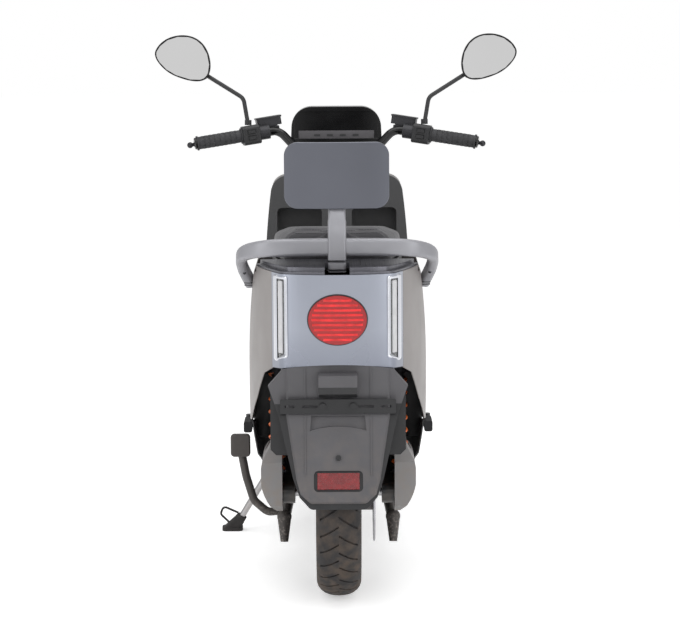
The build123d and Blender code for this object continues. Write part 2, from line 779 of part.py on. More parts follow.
def slider(side):
    """A fork slider with its axle lug and mudguard boss."""
    x = side * fork_half_span
    body = steer_rod(x, fork_offset, (slider_low, slider_high), slider_radius)
    body += steer_rod(x, fork_offset, (slider_high - 14, slider_high), slider_radius + 2.5)
    body += rod((x - 20, *axle_local), (x + 20, *axle_local), 19)
    body -= steer_rod(x, fork_offset, (slider_bore_low, slider_high + 1), stanchion_radius + slide_fit)
    boss_end = side * (guard_half_width + 0.3)
    body += rod((x, fork_offset, guard_boss_z), (boss_end, fork_offset, guard_boss_z), 9)
    body -= steer_rod(x, fork_offset, (slider_bore_low, slider_high + 1), stanchion_radius + slide_fit)
    return body - rod((x - 21, *axle_local), (x + 21, *axle_local), front_axle_radius)


guard_half_width = 55.0
guard_wall = 2.5
guard_radius = front_tyre_radius + 15.0
guard_boss_z = 215.0
front_caliper_angle = rake + 62.0
front_caliper_lug_x = front_disc_x - 26.0

caliper_turn = front_wheel * Rot(front_caliper_angle, 0, 0)
front_caliper = caliper_turn * caliper(front_disc_x, -1, front_caliper_lug_x)
lug_point = (caliper_turn * Pos(front_caliper_lug_x, 0, caliper_reach)).position
hanger_foot = Vector(*on_steer(-fork_half_span, fork_offset, 52))
hanger = tangent_bar(
    (hanger_foot.Y, hanger_foot.Z),
    18,
    (lug_point.Y, lug_point.Z),
    15,
    (front_caliper_lug_x - 9, front_caliper_lug_x),
)
hanger_bore = (slider_bore_low, slider_high + 1)
hanger -= steer * steer_rod(-fork_half_span, fork_offset, hanger_bore, stanchion_radius + 3)
left_slider = steer * slider(-1) + hanger
left_slider -= steer * steer_rod(-fork_half_span, fork_offset, (slider_bore_low, slider_high + 1),
                                 stanchion_radius + slide_fit)

front_end = fork_half_span + slider_radius + 9
front_bar = cross_rod((-front_end, front_end), 0, 0, front_axle_radius)
front_bar += nut(fork_half_span + slider_radius, 0, 0, 22, 8)
front_bar += nut(-fork_half_span - slider_radius - 8, 0, 0, 22, 8)
front_bar += ring((46.3, 0, 0), (fork_half_span - slider_radius, 0, 0), 12, front_axle_radius)
front_bar += ring((-fork_half_span + slider_radius, 0, 0), (front_disc_x - 2.3, 0, 0), 11, front_axle_radius)
keep("fork_sliders", left_slider, steer * slider(1), front_caliper, front_wheel * front_bar)

hub_left, hub_right = front_disc_x + disc_thickness / 2, 46.0
front_hub = cross_rod((hub_left, hub_right), 0, 0, 31)
front_rim = rim_ring(front_tyre_width) + front_hub
front_rim += spokes(5, 28, rim_radius - rim_well - 3, 30, 24, 28)
front_rim -= [Rot(72 * turn, 0, 0) * block((-40, 40), (-5, 5), (48, 116)) for turn in range(5)]
front_rim -= cross_rod((hub_left - 1, hub_right + 1), 0, 0, front_axle_radius + bearing_fit)
keep("front_rim", front_wheel * front_rim)
keep("front_disc", front_wheel * brake_disc(front_disc_radius, front_disc_x, 30.0))

# Front mudguard: an arched section spun part of the way round the tyre.
guard_start, guard_end = -58.0, 70.0


def guard_section(inset):
    """A closed outline of the arched section, above the axle."""
    half, top = guard_half_width - inset, guard_radius - inset
    arch = ThreePointArc((-half, top - 18), (0, top + guard_wall), (half, top - 18))
    edges = [Line((-half, top - 60), (-half, top - 18)), arch, Line((half, top - 18), (half, top - 60))]
    return Plane.XZ * make_face(Curve() + (edges + [Line((half, top - 60), (-half, top - 60))]))


guard_arc = guard_end - guard_start
guard_skin = revolve(Rot(guard_start, 0, 0) * guard_section(0), axis=Axis.X, revolution_arc=guard_arc)
guard_void = revolve(Rot(guard_start - 1, 0, 0) * guard_section(guard_wall), axis=Axis.X,
                     revolution_arc=guard_end - guard_start + 2)
guard_inner_half = guard_half_width - guard_wall
guard_void += cross_rod((-guard_inner_half, guard_inner_half), 0, 0, guard_radius - 24)
guard = guard_skin - guard_void
guard -= cross_rod((-200, 200), 0, 0, guard_radius - 42)
keep("front_mudguard", front_wheel * guard)


# ---------------------------------------------------------------- handlebar and controls
bar_elbow = Vector(152.0, 362.0, 1002.0)
bar_end = Vector(bar_half_span, 320.0, 970.0)
bar_half_route = [(80, bar_centre_y, bar_clamp_height), tuple(bar_elbow), tuple(bar_end)]
bar_route = [(-x, y, z) for x, y, z in reversed(bar_half_route)] + bar_half_route
bar_bends = [40, 45, 45, 40]
bar = pipe(bar_route, bar_bends, bar_radius)

grip_way = (bar_end - bar_elbow).normalized()
grip_front = (Vector(0, 1, 0) - grip_way * grip_way.Y).normalized()
grip_plane = Plane(origin=bar_end, x_dir=grip_front, z_dir=grip_way)
grip_gap = 0.4
twist_fit = 0.1
switch_outer = -(grip_length + grip_gap)
switch_inner = switch_outer - switch_length


clamp_block = block((-26, 26), (-17, 17), (stem_top - 40, stem_top + 6))
clamp_block = fillet(clamp_block.edges().filter_by(Axis.Z), 6)
clamp_block -= steer_rod(0, 0, (stem_top - 60, stem_top), steerer_radius)
clamp = steer * clamp_block
clamp += rod((-30, bar_centre_y, bar_clamp_height), (30, bar_centre_y, bar_clamp_height), bar_radius + 8)
clamp -= rod((-31, bar_centre_y, bar_clamp_height), (31, bar_centre_y, bar_clamp_height), bar_radius)
clamp -= steer * steer_rod(0, 0, (stem_top - 60, stem_top), steerer_radius)


def grip(bore):
    """A rubber grip with two flanges and ring grooves."""
    body = ring((0, 0, -grip_length), (0, 0, 0), grip_radius, bore)
    body += ring((0, 0, -grip_length), (0, 0, -grip_length + 4), grip_radius + 4, bore)
    body += ring((0, 0, -4), (0, 0, 0), grip_radius + 2.5, bore)
    for step in range(7):
        z = -18 - 14.0 * step
        body -= ring((0, 0, z - 2), (0, 0, z), grip_radius + 1, grip_radius - 1.2)
    return body


def bar_plug():
    """A domed plug closing the bar's end."""
    plug = Cylinder(grip_radius - 1, 6, align=(Align.CENTER, Align.CENTER, Align.MIN))
    return Pos(0, 0, 0.4) * fillet(plug.edges().sort_by(Axis.Z)[-1], 3)


keep("throttle_grip", grip_plane * grip(bar_radius + twist_fit))
keep("left_grip", other_side(grip_plane * grip(bar_radius)))
plugs = both_sides(grip_plane * bar_plug())
keep("handlebar", bar + clamp, plugs)

button_fit = 0.3
button_levels = (8.0, -8.0)
button_size = (7.0, 9.0, 20.0)


def switch_housing():
    """A moulded switch block round the bar, with two button wells at the back."""
    middle = (switch_outer + switch_inner) / 2
    shell = Pos(-3, -1, middle) * Box(44, 50, switch_length)
    shell = fillet(shell.edges().filter_by(Axis.Z), 9)
    shell = chamfer(shell.edges().group_by(Axis.Z)[0], 2)
    for y in button_levels:
        _, tall, wide = button_size
        shell -= Pos(-24, y, middle) * Box(14, tall + 2 * button_fit, wide + 2 * button_fit)
    return shell - rod((0, 0, switch_inner - 1), (0, 0, switch_outer + 1), bar_radius)


def switch_button(y):
    """A rounded rocker that stands out of its well towards the rider."""
    middle = (switch_outer + switch_inner) / 2
    cap = Pos(-24.5, y, middle) * Box(*button_size)
    return fillet(cap.edges().filter_by(Axis.Y), 1.5)


right_switch = grip_plane * switch_housing()
keep("switch_housings", right_switch, other_side(right_switch))
for node, y in zip(("upper", "lower"), button_levels):
    button = grip_plane * switch_button(y)
    keep(f"{node}_button_right", button)
    keep(f"{node}_button_left", other_side(button))

# Brake master cylinders: a clamp, a cylinder ahead of the bar, a reservoir and a lever.
lever_pivot = (40.0, -4.0, switch_inner - 6.0)
lever_thickness = 9.0
lever_bolt_radius = 4.0
clamp_width = 26.0


def master_cylinder():
    """Bar clamp, cylinder body, lidded reservoir, mirror boss and the lever's clevis."""
    z = switch_inner - 0.4 - clamp_width / 2
    body = Pos(0, 0, z) * Cylinder(19, clamp_width)
    body += block((14, 34), (-13, 11), (z - 44, z + clamp_width / 2))
    tank = block((10, 50), (14, 34), (z - 52, z + clamp_width / 2))
    tank = fillet(tank.edges().filter_by(Axis.Y), 7)
    body += tank + block((14, 34), (8, 16), (z - 40, z + 8))
    lid = block((8, 52), (34, 38), (z - 54, z + clamp_width / 2 + 2))
    body += fillet(lid.edges().filter_by(Axis.Y), 8)
    x, y, pivot_z = lever_pivot
    for level in (y + lever_thickness / 2 + 0.35, y - lever_thickness / 2 - 4.35):
        cheek = block((20, x), (level, level + 4), (pivot_z - 11, pivot_z + 4))
        cheek += Pos(x, level + 2, pivot_z) * Rot(90, 0, 0) * Cylinder(8, 4)
        body += cheek
    body -= Pos(x, y, pivot_z) * Rot(90, 0, 0) * Cylinder(lever_bolt_radius, 40)
    body -= block((32.4, 60), (y - lever_thickness / 2 - 0.35, y + lever_thickness / 2 + 0.35),
                  (pivot_z - 16, pivot_z + 30))
    return body - rod((0, 0, z - 60), (0, 0, z + 60), bar_radius)


def brake_lever():
    """A bent, tapering blade from its pivot to a ball beyond the grip."""
    x, y, z = lever_pivot
    blade = Plane.XZ * make_face(Curve() + [
        Spline((x - 5, z - 4), (x + 20, z + 40), (x + 20, -30), (x + 4, 4)),
        Line((x + 4, 4), (x + 12, 9)),
        Spline((x + 12, 9), (x + 32, -34), (x + 31, z + 34), (x + 6, z - 5)),
        Line((x + 6, z - 5), (x - 5, z - 4)),
    ])
    body = Pos(0, y + lever_thickness / 2, 0) * extrude(blade, amount=lever_thickness, dir=(0, -1, 0))
    body += Pos(x, y, z) * Rot(90, 0, 0) * Cylinder(7.5, lever_thickness)
    body += Pos(x + 9, y, 12) * Sphere(8)
    return body - Pos(x, y, z) * Rot(90, 0, 0) * Cylinder(lever_bolt_radius + bearing_fit, 20)


def lever_bolt():
    """The pin that a brake lever turns on, with its head."""
    x, y, z = lever_pivot
    seat = lever_thickness / 2 + 4.35
    shank = rod((x, y - seat, z), (x, y + seat, z), lever_bolt_radius)
    return shank + rod((x, y + seat, z), (x, y + seat + 3, z), 7)


cylinders = both_sides(grip_plane * master_cylinder())
keep("master_cylinders", cylinders, both_sides(grip_plane * lever_bolt()))
lever = grip_plane * brake_lever()
keep("brake_lever_right", lever)
keep("brake_lever_left", other_side(lever))


# ---------------------------------------------------------------- rear body
body_low, body_high = 330.0, 752.0
body_front_y = -38.0
tail_split_y = -779.0
front_split_y = -150.0
side_top = 737.0
tail_deck_y = -656.0
widest_y, widest_z = -500.0, 520.0
flare_top = 19.0
flare_low = 6.0


def body_plan(inset):
    """The plan outline of the rear body: a bowed tail, swelling flanks and a rounded front."""
    wide, corner = body_half_width - inset, tail_half_width - 24.0 - inset
    tail, front = tail_rear_y + inset, body_front_y - inset
    corner_y = tail_rear_y + 30.0 + inset
    flank = ThreePointArc((corner, corner_y), (0.86 * wide, -680), (wide, widest_y))
    waist = ThreePointArc((wide, widest_y), (0.92 * wide, -290), (0.56 * wide, front - 36))
    edges = [flank, waist]
    edges += [mirror(edge, about=Plane.YZ) for edge in edges]
    edges.append(ThreePointArc((-corner, corner_y), (0, tail), (corner, corner_y)))
    edges.append(ThreePointArc((-0.56 * wide, front - 36), (0, front), (0.56 * wide, front - 36)))
    return make_face(Curve() + edges)


def body_form(inset):
    """The rear body as one closed form: its plan, cut by flanks that flare in the rear view."""
    form = extrude(Pos(0, 0, body_low) * body_plan(inset), amount=body_high - body_low)
    corners = form.edges().filter_by(Axis.Z).group_by(Axis.Y)
    form = fillet(corners[0], 34.0 - inset)
    wide = body_half_width - inset
    side = ThreePointArc(
        (wide - flare_top, body_high + 1), (wide, widest_z), (wide - flare_low, body_low - 1)
    )
    flanks = [side, mirror(side, about=Plane.YZ)]
    flanks.append(Line((-wide + flare_top, body_high + 1), (wide - flare_top, body_high + 1)))
    flanks.append(Line((-wide + flare_low, body_low - 1), (wide - flare_low, body_low - 1)))
    return form & extrude(Plane.XZ * make_face(Curve() + flanks), amount=1000)


body_outer = body_form(0.0)
body_skin = body_outer - body_form(body_wall)
lower_edge = [
    (10, 200),
    (10, 346),
    (-150, 346),
    (-330, 352),
    (-560, 388),
    (-650, 452),
    (-720, 520),
    (tail_split_y, tail_panel_low),
    (-900, tail_panel_low),
    (-900, 200),
]
body_skin -= side_profile(lower_edge, (-300, 300))
body_skin -= block((-300, 300), (tail_deck_y, 100), (side_top, 800))

strip_x = 124.0
strip_width = 17.0
strip_low, strip_high = 562.0, 745.0
strip_fit = 0.6
lamp_height, lamp_width = 108.0, 128.0
lamp_z = 655.0
lamp_lift = 7.0
lamp_fit = 0.8


def lamp_outline(grow, y_span):
    """A plain rounded lamp outline, wider than it is high."""
    plane = Plane(origin=(0, y_span[0], lamp_z), x_dir=(1, 0, 0), z_dir=(0, -1, 0))
    face = plane * Ellipse(lamp_width / 2 + grow, lamp_height / 2 + grow)
    return extrude(face, amount=y_span[0] - y_span[1])


def strip_outline(grow, y_span):
    """A tall rounded slot on the right, with a slanted foot."""
    half = strip_width / 2 + grow
    low, high = strip_low - grow, strip_high + grow
    points = [
        (strip_x - half, low + 8),
        (strip_x + half, low),
        (strip_x + half, high),
        (strip_x - half, high),
    ]
    slot = rear_profile(points, y_span)
    return fillet(slot.edges().filter_by(Axis.Y), 3)


tail_reach = (-880.0, -790.0)
tail_skin = body_skin & block((-300, 300), (-900, tail_split_y), (0, 800))
tail_skin -= lamp_outline(0, tail_reach)
slots = both_sides(strip_outline(0, tail_reach))


def under_arch(drop):
    """The space below the tail panel's arched lower edge, seen from behind."""
    half = 190.0
    low = tail_panel_low - drop
    # a wide shallow arch that reaches the panel's full rise in the middle
    arch = ThreePointArc((-half, low - 10), (0, low + tail_panel_rise), (half, low - 10))
    floor_line = Polyline((half, low - 10), (half, 100), (-half, 100), (-half, low - 10))
    return extrude(Plane.XZ.offset(760) * make_face(Curve() + [arch, floor_line]), amount=200)


tail_skin -= under_arch(0)
keep("tail_panel", tail_skin - slots)

front_reach = block((-300, 300), (front_split_y, 100), (0, 800))
side_reach = block((panel_gap / 2, 300), (tail_split_y + panel_gap, front_split_y - panel_gap), (0, 800))
side_panel = body_skin & side_reach
keep("side_panels", side_panel, other_side(side_panel))
seat_box_front = body_skin & front_reach
keep("seat_box_front", seat_box_front)

lamp_body = lamp_outline(-lamp_fit, tail_reach)
keep("tail_lamp_lens", lamp_body & (body_form(-lamp_lift) - body_form(14.0)))
strip_body = strip_outline(-strip_fit, tail_reach)
strip_lens = strip_body & (body_form(1.5) - body_form(12.0))
keep("rear_strip_lens", both_sides(strip_lens))

# Tail deck: a lid over the tail with a stepped ledge and a notch for the backrest post.
post_half_width = 21.0
deck_gap = seat_gap
deck_thickness = 5.0


def deck_layer(inset, z_span, y_front):
    """A slice of the body's plan outline, cut square at its front."""
    slice_ = extrude(Pos(0, 0, z_span[0]) * body_plan(inset), amount=z_span[1] - z_span[0])
    slice_ = fillet(slice_.edges().filter_by(Axis.Z).group_by(Axis.Y)[0], 34.0 - inset)
    return slice_ & block((-300, 300), (-900, y_front), z_span)


deck_low = body_high + deck_gap
deck_high = deck_low + deck_thickness
tail_deck = deck_layer(1.5, (deck_low, deck_high), tail_deck_y)
tail_deck += deck_layer(12.0, (deck_high, deck_high + 9), tail_deck_y)
tail_deck -= block((-post_half_width - 6, post_half_width + 6), (-900, -728), (700, 800))
keep("tail_deck", tail_deck)

# Lower trims: dark panels below the side panels, down to the floor.
trim_low = 232.0
trim_wall = 3.0
trim_outline = [
    (-106, 344),
    (-330, 350),
    (-552, 384),
    (-566, 352),
    (-520, 300),
    (-404, 268),
    (-330, trim_low + 6),
    (-140, trim_low),
    (-106, trim_low + 12),
]


trim_lean = 8.0
trim_edge = (198.0, 384.0)


def trim_wall_form(inset):
    """The space inside a long upright arc in plan."""
    arc = ThreePointArc((181 - inset, -66), (198 - inset, -330), (197 - inset, -568))
    edges = [arc, Polyline(arc @ 1, (0, -568), (0, -66), arc @ 0)]
    return extrude(Pos(0, 0, trim_low - 30) * make_face(Curve() + edges), amount=220)


trim = trim_wall_form(0) - trim_wall_form(trim_wall)
trim = Pos(trim_edge[0], 0, trim_edge[1]) * Rot(0, trim_lean, 0) * Pos(-trim_edge[0], 0, -trim_edge[1]) * trim
trim &= side_profile(trim_outline, (120, 230))
trim -= cross_rod((120, 230), peg_y, peg_z, peg_arm_radius + seat_gap)
keep("lower_trims", trim, other_side(trim))


# ---------------------------------------------------------------- seat
pan_thickness = 12.0
cushion_low = seat_bottom + pan_thickness + seat_gap
rider_top = 806.0
seat_corner = 24.0
hinge_y, hinge_z = 8.0, 734.0
hinge_pin_radius = 4.0


def seat_plan(inset):
    """The plan outline of the seat: a narrow nose and a broad pillion end."""
    wide, rear, nose = seat_half_width - inset, seat_rear_y + inset, seat_front_y - inset
    flank = ThreePointArc((0.80 * wide, rear + 22), (wide, -440), (0.62 * wide, nose - 34))
    edges = [flank, mirror(flank, about=Plane.YZ)]
    edges.append(ThreePointArc((-0.80 * wide, rear + 22), (0, rear), (0.80 * wide, rear + 22)))
    edges.append(ThreePointArc((-0.62 * wide, nose - 34), (0, nose), (0.62 * wide, nose - 34)))
    return make_face(Curve() + edges)


def seat_slab(inset, z_span):
    """A slab with the seat's outline and rounded corners."""
    slab = extrude(Pos(0, 0, z_span[0]) * seat_plan(inset), amount=z_span[1] - z_span[0])
    corners = slab.edges().filter_by(Axis.Z).group_by(Axis.Y)
    slab = fillet(corners[0], 38.0 - inset)
    return fillet(slab.edges().filter_by(Axis.Z).group_by(Axis.Y)[-1], 30.0 - inset)


cushion = seat_slab(0, (cushion_low, seat_top))
cushion = fillet(cushion.edges().group_by(Axis.Z)[-1], seat_corner)
dip = side_profile(
    [(-302, 860), (-286, 822), (-250, rider_top + 2), (-200, rider_top), (60, rider_top + 4), (90, 860)],
    (-200, 200),
)
keep("seat_cushion", cushion - dip)

pan = seat_slab(3, (seat_bottom, seat_bottom + pan_thickness))
pan -= seat_slab(9, (seat_bottom - 1, seat_bottom + pan_thickness - 3))
for rib_y in (-120, -240, -360, -480):
    pan += block((-110, 110), (rib_y - 1.5, rib_y + 1.5), (seat_bottom + 3, cushion_low - 1))
for x in (-30, 30):
    lug = block((x - 5, x + 5), (hinge_y - 8, hinge_y + 3), (hinge_z, seat_bottom + pan_thickness - 2))
    pan += lug + cross_rod((x - 5, x + 5), hinge_y, hinge_z, 7.5)
pan -= cross_rod((-60, 60), hinge_y, hinge_z, hinge_pin_radius + bearing_fit)
latch_y = -560.0
pan += block((-14, -10), (latch_y - 3, latch_y + 3), (724, seat_bottom + pan_thickness - 2))
pan += block((10, 14), (latch_y - 3, latch_y + 3), (724, seat_bottom + pan_thickness - 2))
pan += cross_rod((-14, 14), latch_y, 726, 3)
keep("seat_base", pan)

# Storage bucket below the seat, with a flange that lies inside the body's rim.
bucket_wall = 2.5
bucket_half = 106.0
bucket_front, bucket_back = -64.0, -440.0
bucket_low, bucket_high = 486.0, flange_low + flange_thickness


def bucket_form(inset, low):
    """The bucket's tapered form."""
    middle = (bucket_front + bucket_back) / 2
    length = bucket_front - bucket_back
    mouth = RectangleRounded(2 * (bucket_half - inset), length - 2 * inset, 40 - inset)
    top = Pos(0, middle, bucket_high) * mouth
    foot = Pos(0, middle + 14, low) * RectangleRounded(
        2 * (bucket_half - 8 - inset), length - 60 - 2 * inset, 34 - inset
    )
    return loft([foot, top])


flange = block((-150, 150), (bucket_back - 30, 0), (flange_low, bucket_high))
flange &= body_form(body_wall + seat_gap)
bucket = bucket_form(0, bucket_low) + flange
bucket -= bucket_form(bucket_wall, bucket_low + bucket_wall)
bucket -= block((-60, 60), (bucket_front + 2, 40), (bucket_high - 20, bucket_high + 1))
bucket += cross_rod((-42, 42), hinge_y, hinge_z, hinge_pin_radius)
bucket += cross_rod((-24, 24), hinge_y, hinge_z, 7)
bucket += block((-24, 24), (bucket_front - 14, hinge_y), (hinge_z + 4, hinge_z + 7))
bucket += block((-24, 24), (bucket_front - 14, bucket_front - 1), (bucket_high - 4, hinge_z + 7))
keep("storage_bucket", bucket)

battery = block((-82, 82), (-204, -112), (rail_z + 11 + seat_gap, 470))
battery = fillet(battery.edges().filter_by(Axis.Z), 10)
battery += Pos(0, -158, 470) * Box(90, 26, 14) - Pos(0, -158, 466) * Box(66, 28, 14)
controller = block((-60, 60), (-712, -580), (590, 622))
shelf_y = -630.0
shelf_z = knee_z + tie_slope * (shelf_y - knee_y)
shelf_half = seat_rail_x - rail_radius - seat_gap
controller += block((-shelf_half, shelf_half), (shelf_y - 10, shelf_y + 10), (shelf_z - 2, shelf_z + 2))
controller += [block((-60, 60), (-706 + 12 * fin, -702 + 12 * fin), (621, 632)) for fin in range(10)]
keep("battery_and_controller", battery, controller)

# ---------------------------------------------------------------- grab rail and backrest
rail_foot = (196.0, -500.0, 706.0)
rail_bow = (207.0, -604.0, 786.0)
rail_back = (190.0, -748.0, 800.0)
rail_tall, rail_deep = 38.0, 22.0
backrest_z, backrest_width, backrest_height = 958.0, 231.0, 146.0
bow_radius = 420.0
bow_centre_y = -325.0
shell_wall = 11.0
pad_gap = 0.4
pad_depth = 26.0
post_y = bow_centre_y - bow_radius + 5.0

hoop_route = [rail_foot, rail_bow, rail_back]
hoop_route += [(-x, y, z) for x, y, z in reversed(hoop_route)]
hoop_path = FilletPolyline(*hoop_route, radius=[60, 58, 58, 60])
hoop_start = Plane(origin=hoop_path @ 0, x_dir=(1, 0, 0), z_dir=hoop_path % 0)
hoop = sweep(hoop_start * RectangleRounded(rail_deep, rail_tall, 9), path=hoop_path)
post = block((-post_half_width, post_half_width), (post_y - 7, post_y + 7), (768, 900))
post_foot = block((-post_half_width, post_half_width), (post_y - 7, post_y + 7), (742, 780))
bow_outer = Pos(0, bow_centre_y, backrest_z) * Cylinder(bow_radius, 400)
bow_inner = Pos(0, bow_centre_y, backrest_z) * Cylinder(bow_radius - shell_wall, 400)
reach = (-760, -560)
outline = rounded_rear_profile(backrest_width, backrest_height, 30, reach, (0, backrest_z))
shell = outline & (bow_outer - bow_inner)
keep("backrest_shell", shell)
rail_body = hoop + post + post_foot
rail_body -= rounded_rear_profile(
    backrest_width + 1, backrest_height + 1, 30, reach, (0, backrest_z)
)
rail_body -= body_form(-seat_gap)
rail_body -= block((-post_half_width - 30, post_half_width + 30), (-900, post_y - 7.5), (700, 765))
keep("grab_rail", rail_body)
pad_outer, pad_inner = bow_radius - shell_wall - pad_gap, bow_radius - shell_wall - pad_depth
bow_pad = Cylinder(pad_outer, 400) - Cylinder(pad_inner, 400)
pad_outline = rounded_rear_profile(backrest_width - 8, backrest_height - 8, 27, reach, (0, backrest_z))
keep("backrest_pad", pad_outline & (Pos(0, bow_centre_y, backrest_z) * bow_pad))


# ---------------------------------------------------------------- leg shield and front apron
apron_low = 606.0
apron_back_y = shield_top_y + 10.0
apron_wall = 3.0
pocket_half = (37.0, 160.0)
pocket_z = (700.0, 800.0)
pocket_depth = 84.0
pocket_wall = 2.5


def shield_outline(inset):
    """The leg shield's outline in the rear view, extruded right through the front."""
    low, high = shield_low + inset, shield_high - inset
    top, wide = shield_top_half - inset, shield_half - inset
    side = ThreePointArc((floor_half_width - inset, low), (wide, 610), (top, high))
    edges = [side, mirror(side, about=Plane.YZ)]
    edges += [Line((-top, high), (top, high)), Line(edges[0] @ 0, edges[1] @ 0)]
    form = extrude(Plane.XZ * make_face(Curve() + edges), amount=-700)
    form = fillet(form.edges().filter_by(Axis.Y).group_by(Axis.Z)[-1], 46 - inset)
    return fillet(form.edges().filter_by(Axis.Y).group_by(Axis.Z)[0], 24 - inset)


def shield_slab(start, depth):
    """A slanted slab ahead of the leg shield's rear face."""
    points = [
        (shield_top_y + start, shield_high + 10),
        (shield_low_y + start, shield_low - 10),
        (shield_low_y + start + depth, shield_low - 10),
        (shield_top_y + start + depth, shield_high + 10),
    ]
    return side_profile(points, (-300, 300))


shield = shield_outline(0) & shield_slab(0, shield_rim)
shield -= shield_outline(shield_wall) & shield_slab(shield_wall, shield_rim)
for side in (-1, 1):
    x_outer = tuple(sorted(side * x for x in pocket_half))
    x_inner = tuple(sorted(side * x for x in (pocket_half[0] + pocket_wall, pocket_half[1] - pocket_wall)))
    z_inner = (pocket_z[0] + pocket_wall, pocket_z[1] - pocket_wall)
    y_face = shield_top_y + 1.0
    tub = block(x_outer, (y_face + 1, y_face + pocket_depth), pocket_z)
    tub = fillet(tub.edges().filter_by(Axis.Y), 16)
    hollow = block(x_inner, (y_face - 30, y_face + pocket_depth - pocket_wall), z_inner)
    hollow = fillet(hollow.edges().filter_by(Axis.Y), 16 - pocket_wall)
    shield = shield + tub - hollow
shield -= block((-28, 28), (shield_low_y + shield_wall, 400), (shield_low - 1, shield_low + 12))
stem_hole = steer * steer_rod(0, 0, (400, 800), 36)
shield -= stem_hole
keep("leg_shield", shield)


def apron_form(inset):
    """The front apron: a bowed plan, a raked nose and the leg shield's outline."""
    wide, nose = shield_half - inset, apron_front_y - inset
    back = apron_back_y
    corner = (0.60 * wide, nose - 44)
    flank = ThreePointArc((wide, back), (0.90 * wide, nose - 130), corner)
    front = ThreePointArc(corner, (0, nose), (-corner[0], corner[1]))
    edges = [flank, mirror(flank, about=Plane.YZ), front, Line((-wide, back), (wide, back))]
    plan = extrude(Pos(0, 0, 500) * make_face(Curve() + edges), amount=420)
    high, low = shield_high - inset, apron_low - 10
    brow = ThreePointArc((back + 78, high), (nose - 62, high - 76), (nose, high - 190))
    chin = Line((nose, high - 190), (nose - 16, low))
    rest = Polyline((nose - 16, low), (back - 1, low), (back - 1, high), (back + 78, high))
    side_view = extrude(Plane.YZ.offset(-300) * make_face(Curve() + [brow, chin, rest]), amount=600)
    return plan & side_view & shield_outline(inset)


headlamp_z, headlamp_radius = 700.0, 66.0
signal_x, signal_z = 112.0, 640.0
apron = apron_form(0) - apron_form(apron_wall)
apron &= block((-300, 300), (0, 700), (apron_low, 1000))
apron -= shield_slab(-60.0, 60.0 + shield_rim + seat_gap)
apron -= rod((0, 480, headlamp_z), (0, 640, headlamp_z), headlamp_radius)
signal_slot = block((signal_x - 26, signal_x + 26), (480, 640), (signal_z - 9, signal_z + 9))
signal_slot = fillet(signal_slot.edges().filter_by(Axis.Y), 8)
apron -= both_sides(signal_slot)
apron -= steer * steer_rod(0, 0, (600, 800), 40)
keep("front_apron", apron)

lens_form = apron_form(-5.0) - apron_form(16.0)
headlamp = rod((0, 480, headlamp_z), (0, 640, headlamp_z), headlamp_radius - 0.8) & lens_form
signal = block((signal_x - 25.2, signal_x + 25.2), (480, 640), (signal_z - 8.2, signal_z + 8.2))
signal = fillet(signal.edges().filter_by(Axis.Y), 7.2) & (apron_form(-2.0) - apron_form(10.0))
keep("headlamp", headlamp, signal, other_side(signal))

# ---------------------------------------------------------------- floor
floor_rear_y, floor_front_y = -62.0, 300.0
belly_low = ground_clearance
floor_seam = 262.0
spine_notch = block((-28, 28), (276, 380), (196, 350))


def floor_form(inset):
    """The floorboard with its raised toe."""
    return side_profile(
        [
            (floor_rear_y + inset, floor_seam - (1 if inset else 0)),
            (floor_rear_y + inset, floor_top - inset),
            (floor_front_y - inset, floor_top - inset),
            (floor_front_y + 46 - inset, floor_top + 60 - inset),
            (floor_front_y + 46 - inset, floor_top + 24),
            (floor_front_y + 14 - inset, floor_seam - (1 if inset else 0)),
        ],
        (-floor_half_width + inset, floor_half_width - inset),
    )


floorboard = floor_form(0) - floor_form(floor_wall)
for x in range(-140, 141, 35):
    rib_reach = (floor_rear_y + 26, floor_front_y - 20)
    floorboard += block((x - 4, x + 4), rib_reach, (floor_top - 1, floor_top + 3))
floorboard -= spine_notch


def belly_form(inset):
    """The belly pan: a tapered tray below the rails."""
    low, seam = belly_low + inset, floor_seam - seat_gap + (2 if inset else 0)
    half = floor_half_width - inset
    body = side_profile(
        [
            (floor_rear_y - 40 + inset, seam),
            (floor_rear_y - 40 + inset, low + 20),
            (floor_rear_y - 22 + inset, low),
            (floor_front_y + 10 - inset, low),
            (floor_front_y + 26 - inset, low + 30),
            (floor_front_y + 26 - inset, seam),
        ],
        (-half, half),
    )
    outline = [(half, seam + 2), (half, 225), (half - 34, low)]
    outline += [(-x, z) for x, z in reversed(outline)]
    section = rear_profile(outline, (-400, 500))
    return body & section


belly = belly_form(0) - belly_form(floor_wall) - spine_notch
side_window = block((-217, -124), (-60, 54), (145, 222))
belly -= side_window
belly -= both_sides(block((rail_half_span - 22, rail_half_span + 22), (-110, -96), (rail_z - 22, 270)))
keep("floor_panels", floorboard, belly)

# ---------------------------------------------------------------- rear mudguard and its fittings
guard_top = (-843.0, tail_panel_low + tail_panel_rise)
guard_bend = (-834.0, 468.0)
guard_depth = 24.0
guard_skin_wall = 3.0
raised_height, raised_bevel, raised_low = 6.0, 5.0, 262.0
guard_tip = (tail_end_y, 250.0)


def raised_rim(edge):
    """An edge along the outline of the mudguard's raised face."""
    middle = edge @ 0.5
    on_face = abs(guard_depth_of(middle) + raised_height) < 0.01
    return on_face and middle.Z < tail_panel_low


def guard_depth_of(point):
    """How far a point lies ahead of the mudguard's rear surface."""
    top, low = (guard_top, guard_bend) if point.Z > guard_bend[1] else (guard_bend, guard_tip)
    share = (point.Z - low[1]) / (top[1] - low[1])
    return point.Y - (low[0] + share * (top[0] - low[0]))


flap_angle = degrees(atan2(guard_bend[0] - guard_tip[0], guard_bend[1] - guard_tip[1]))


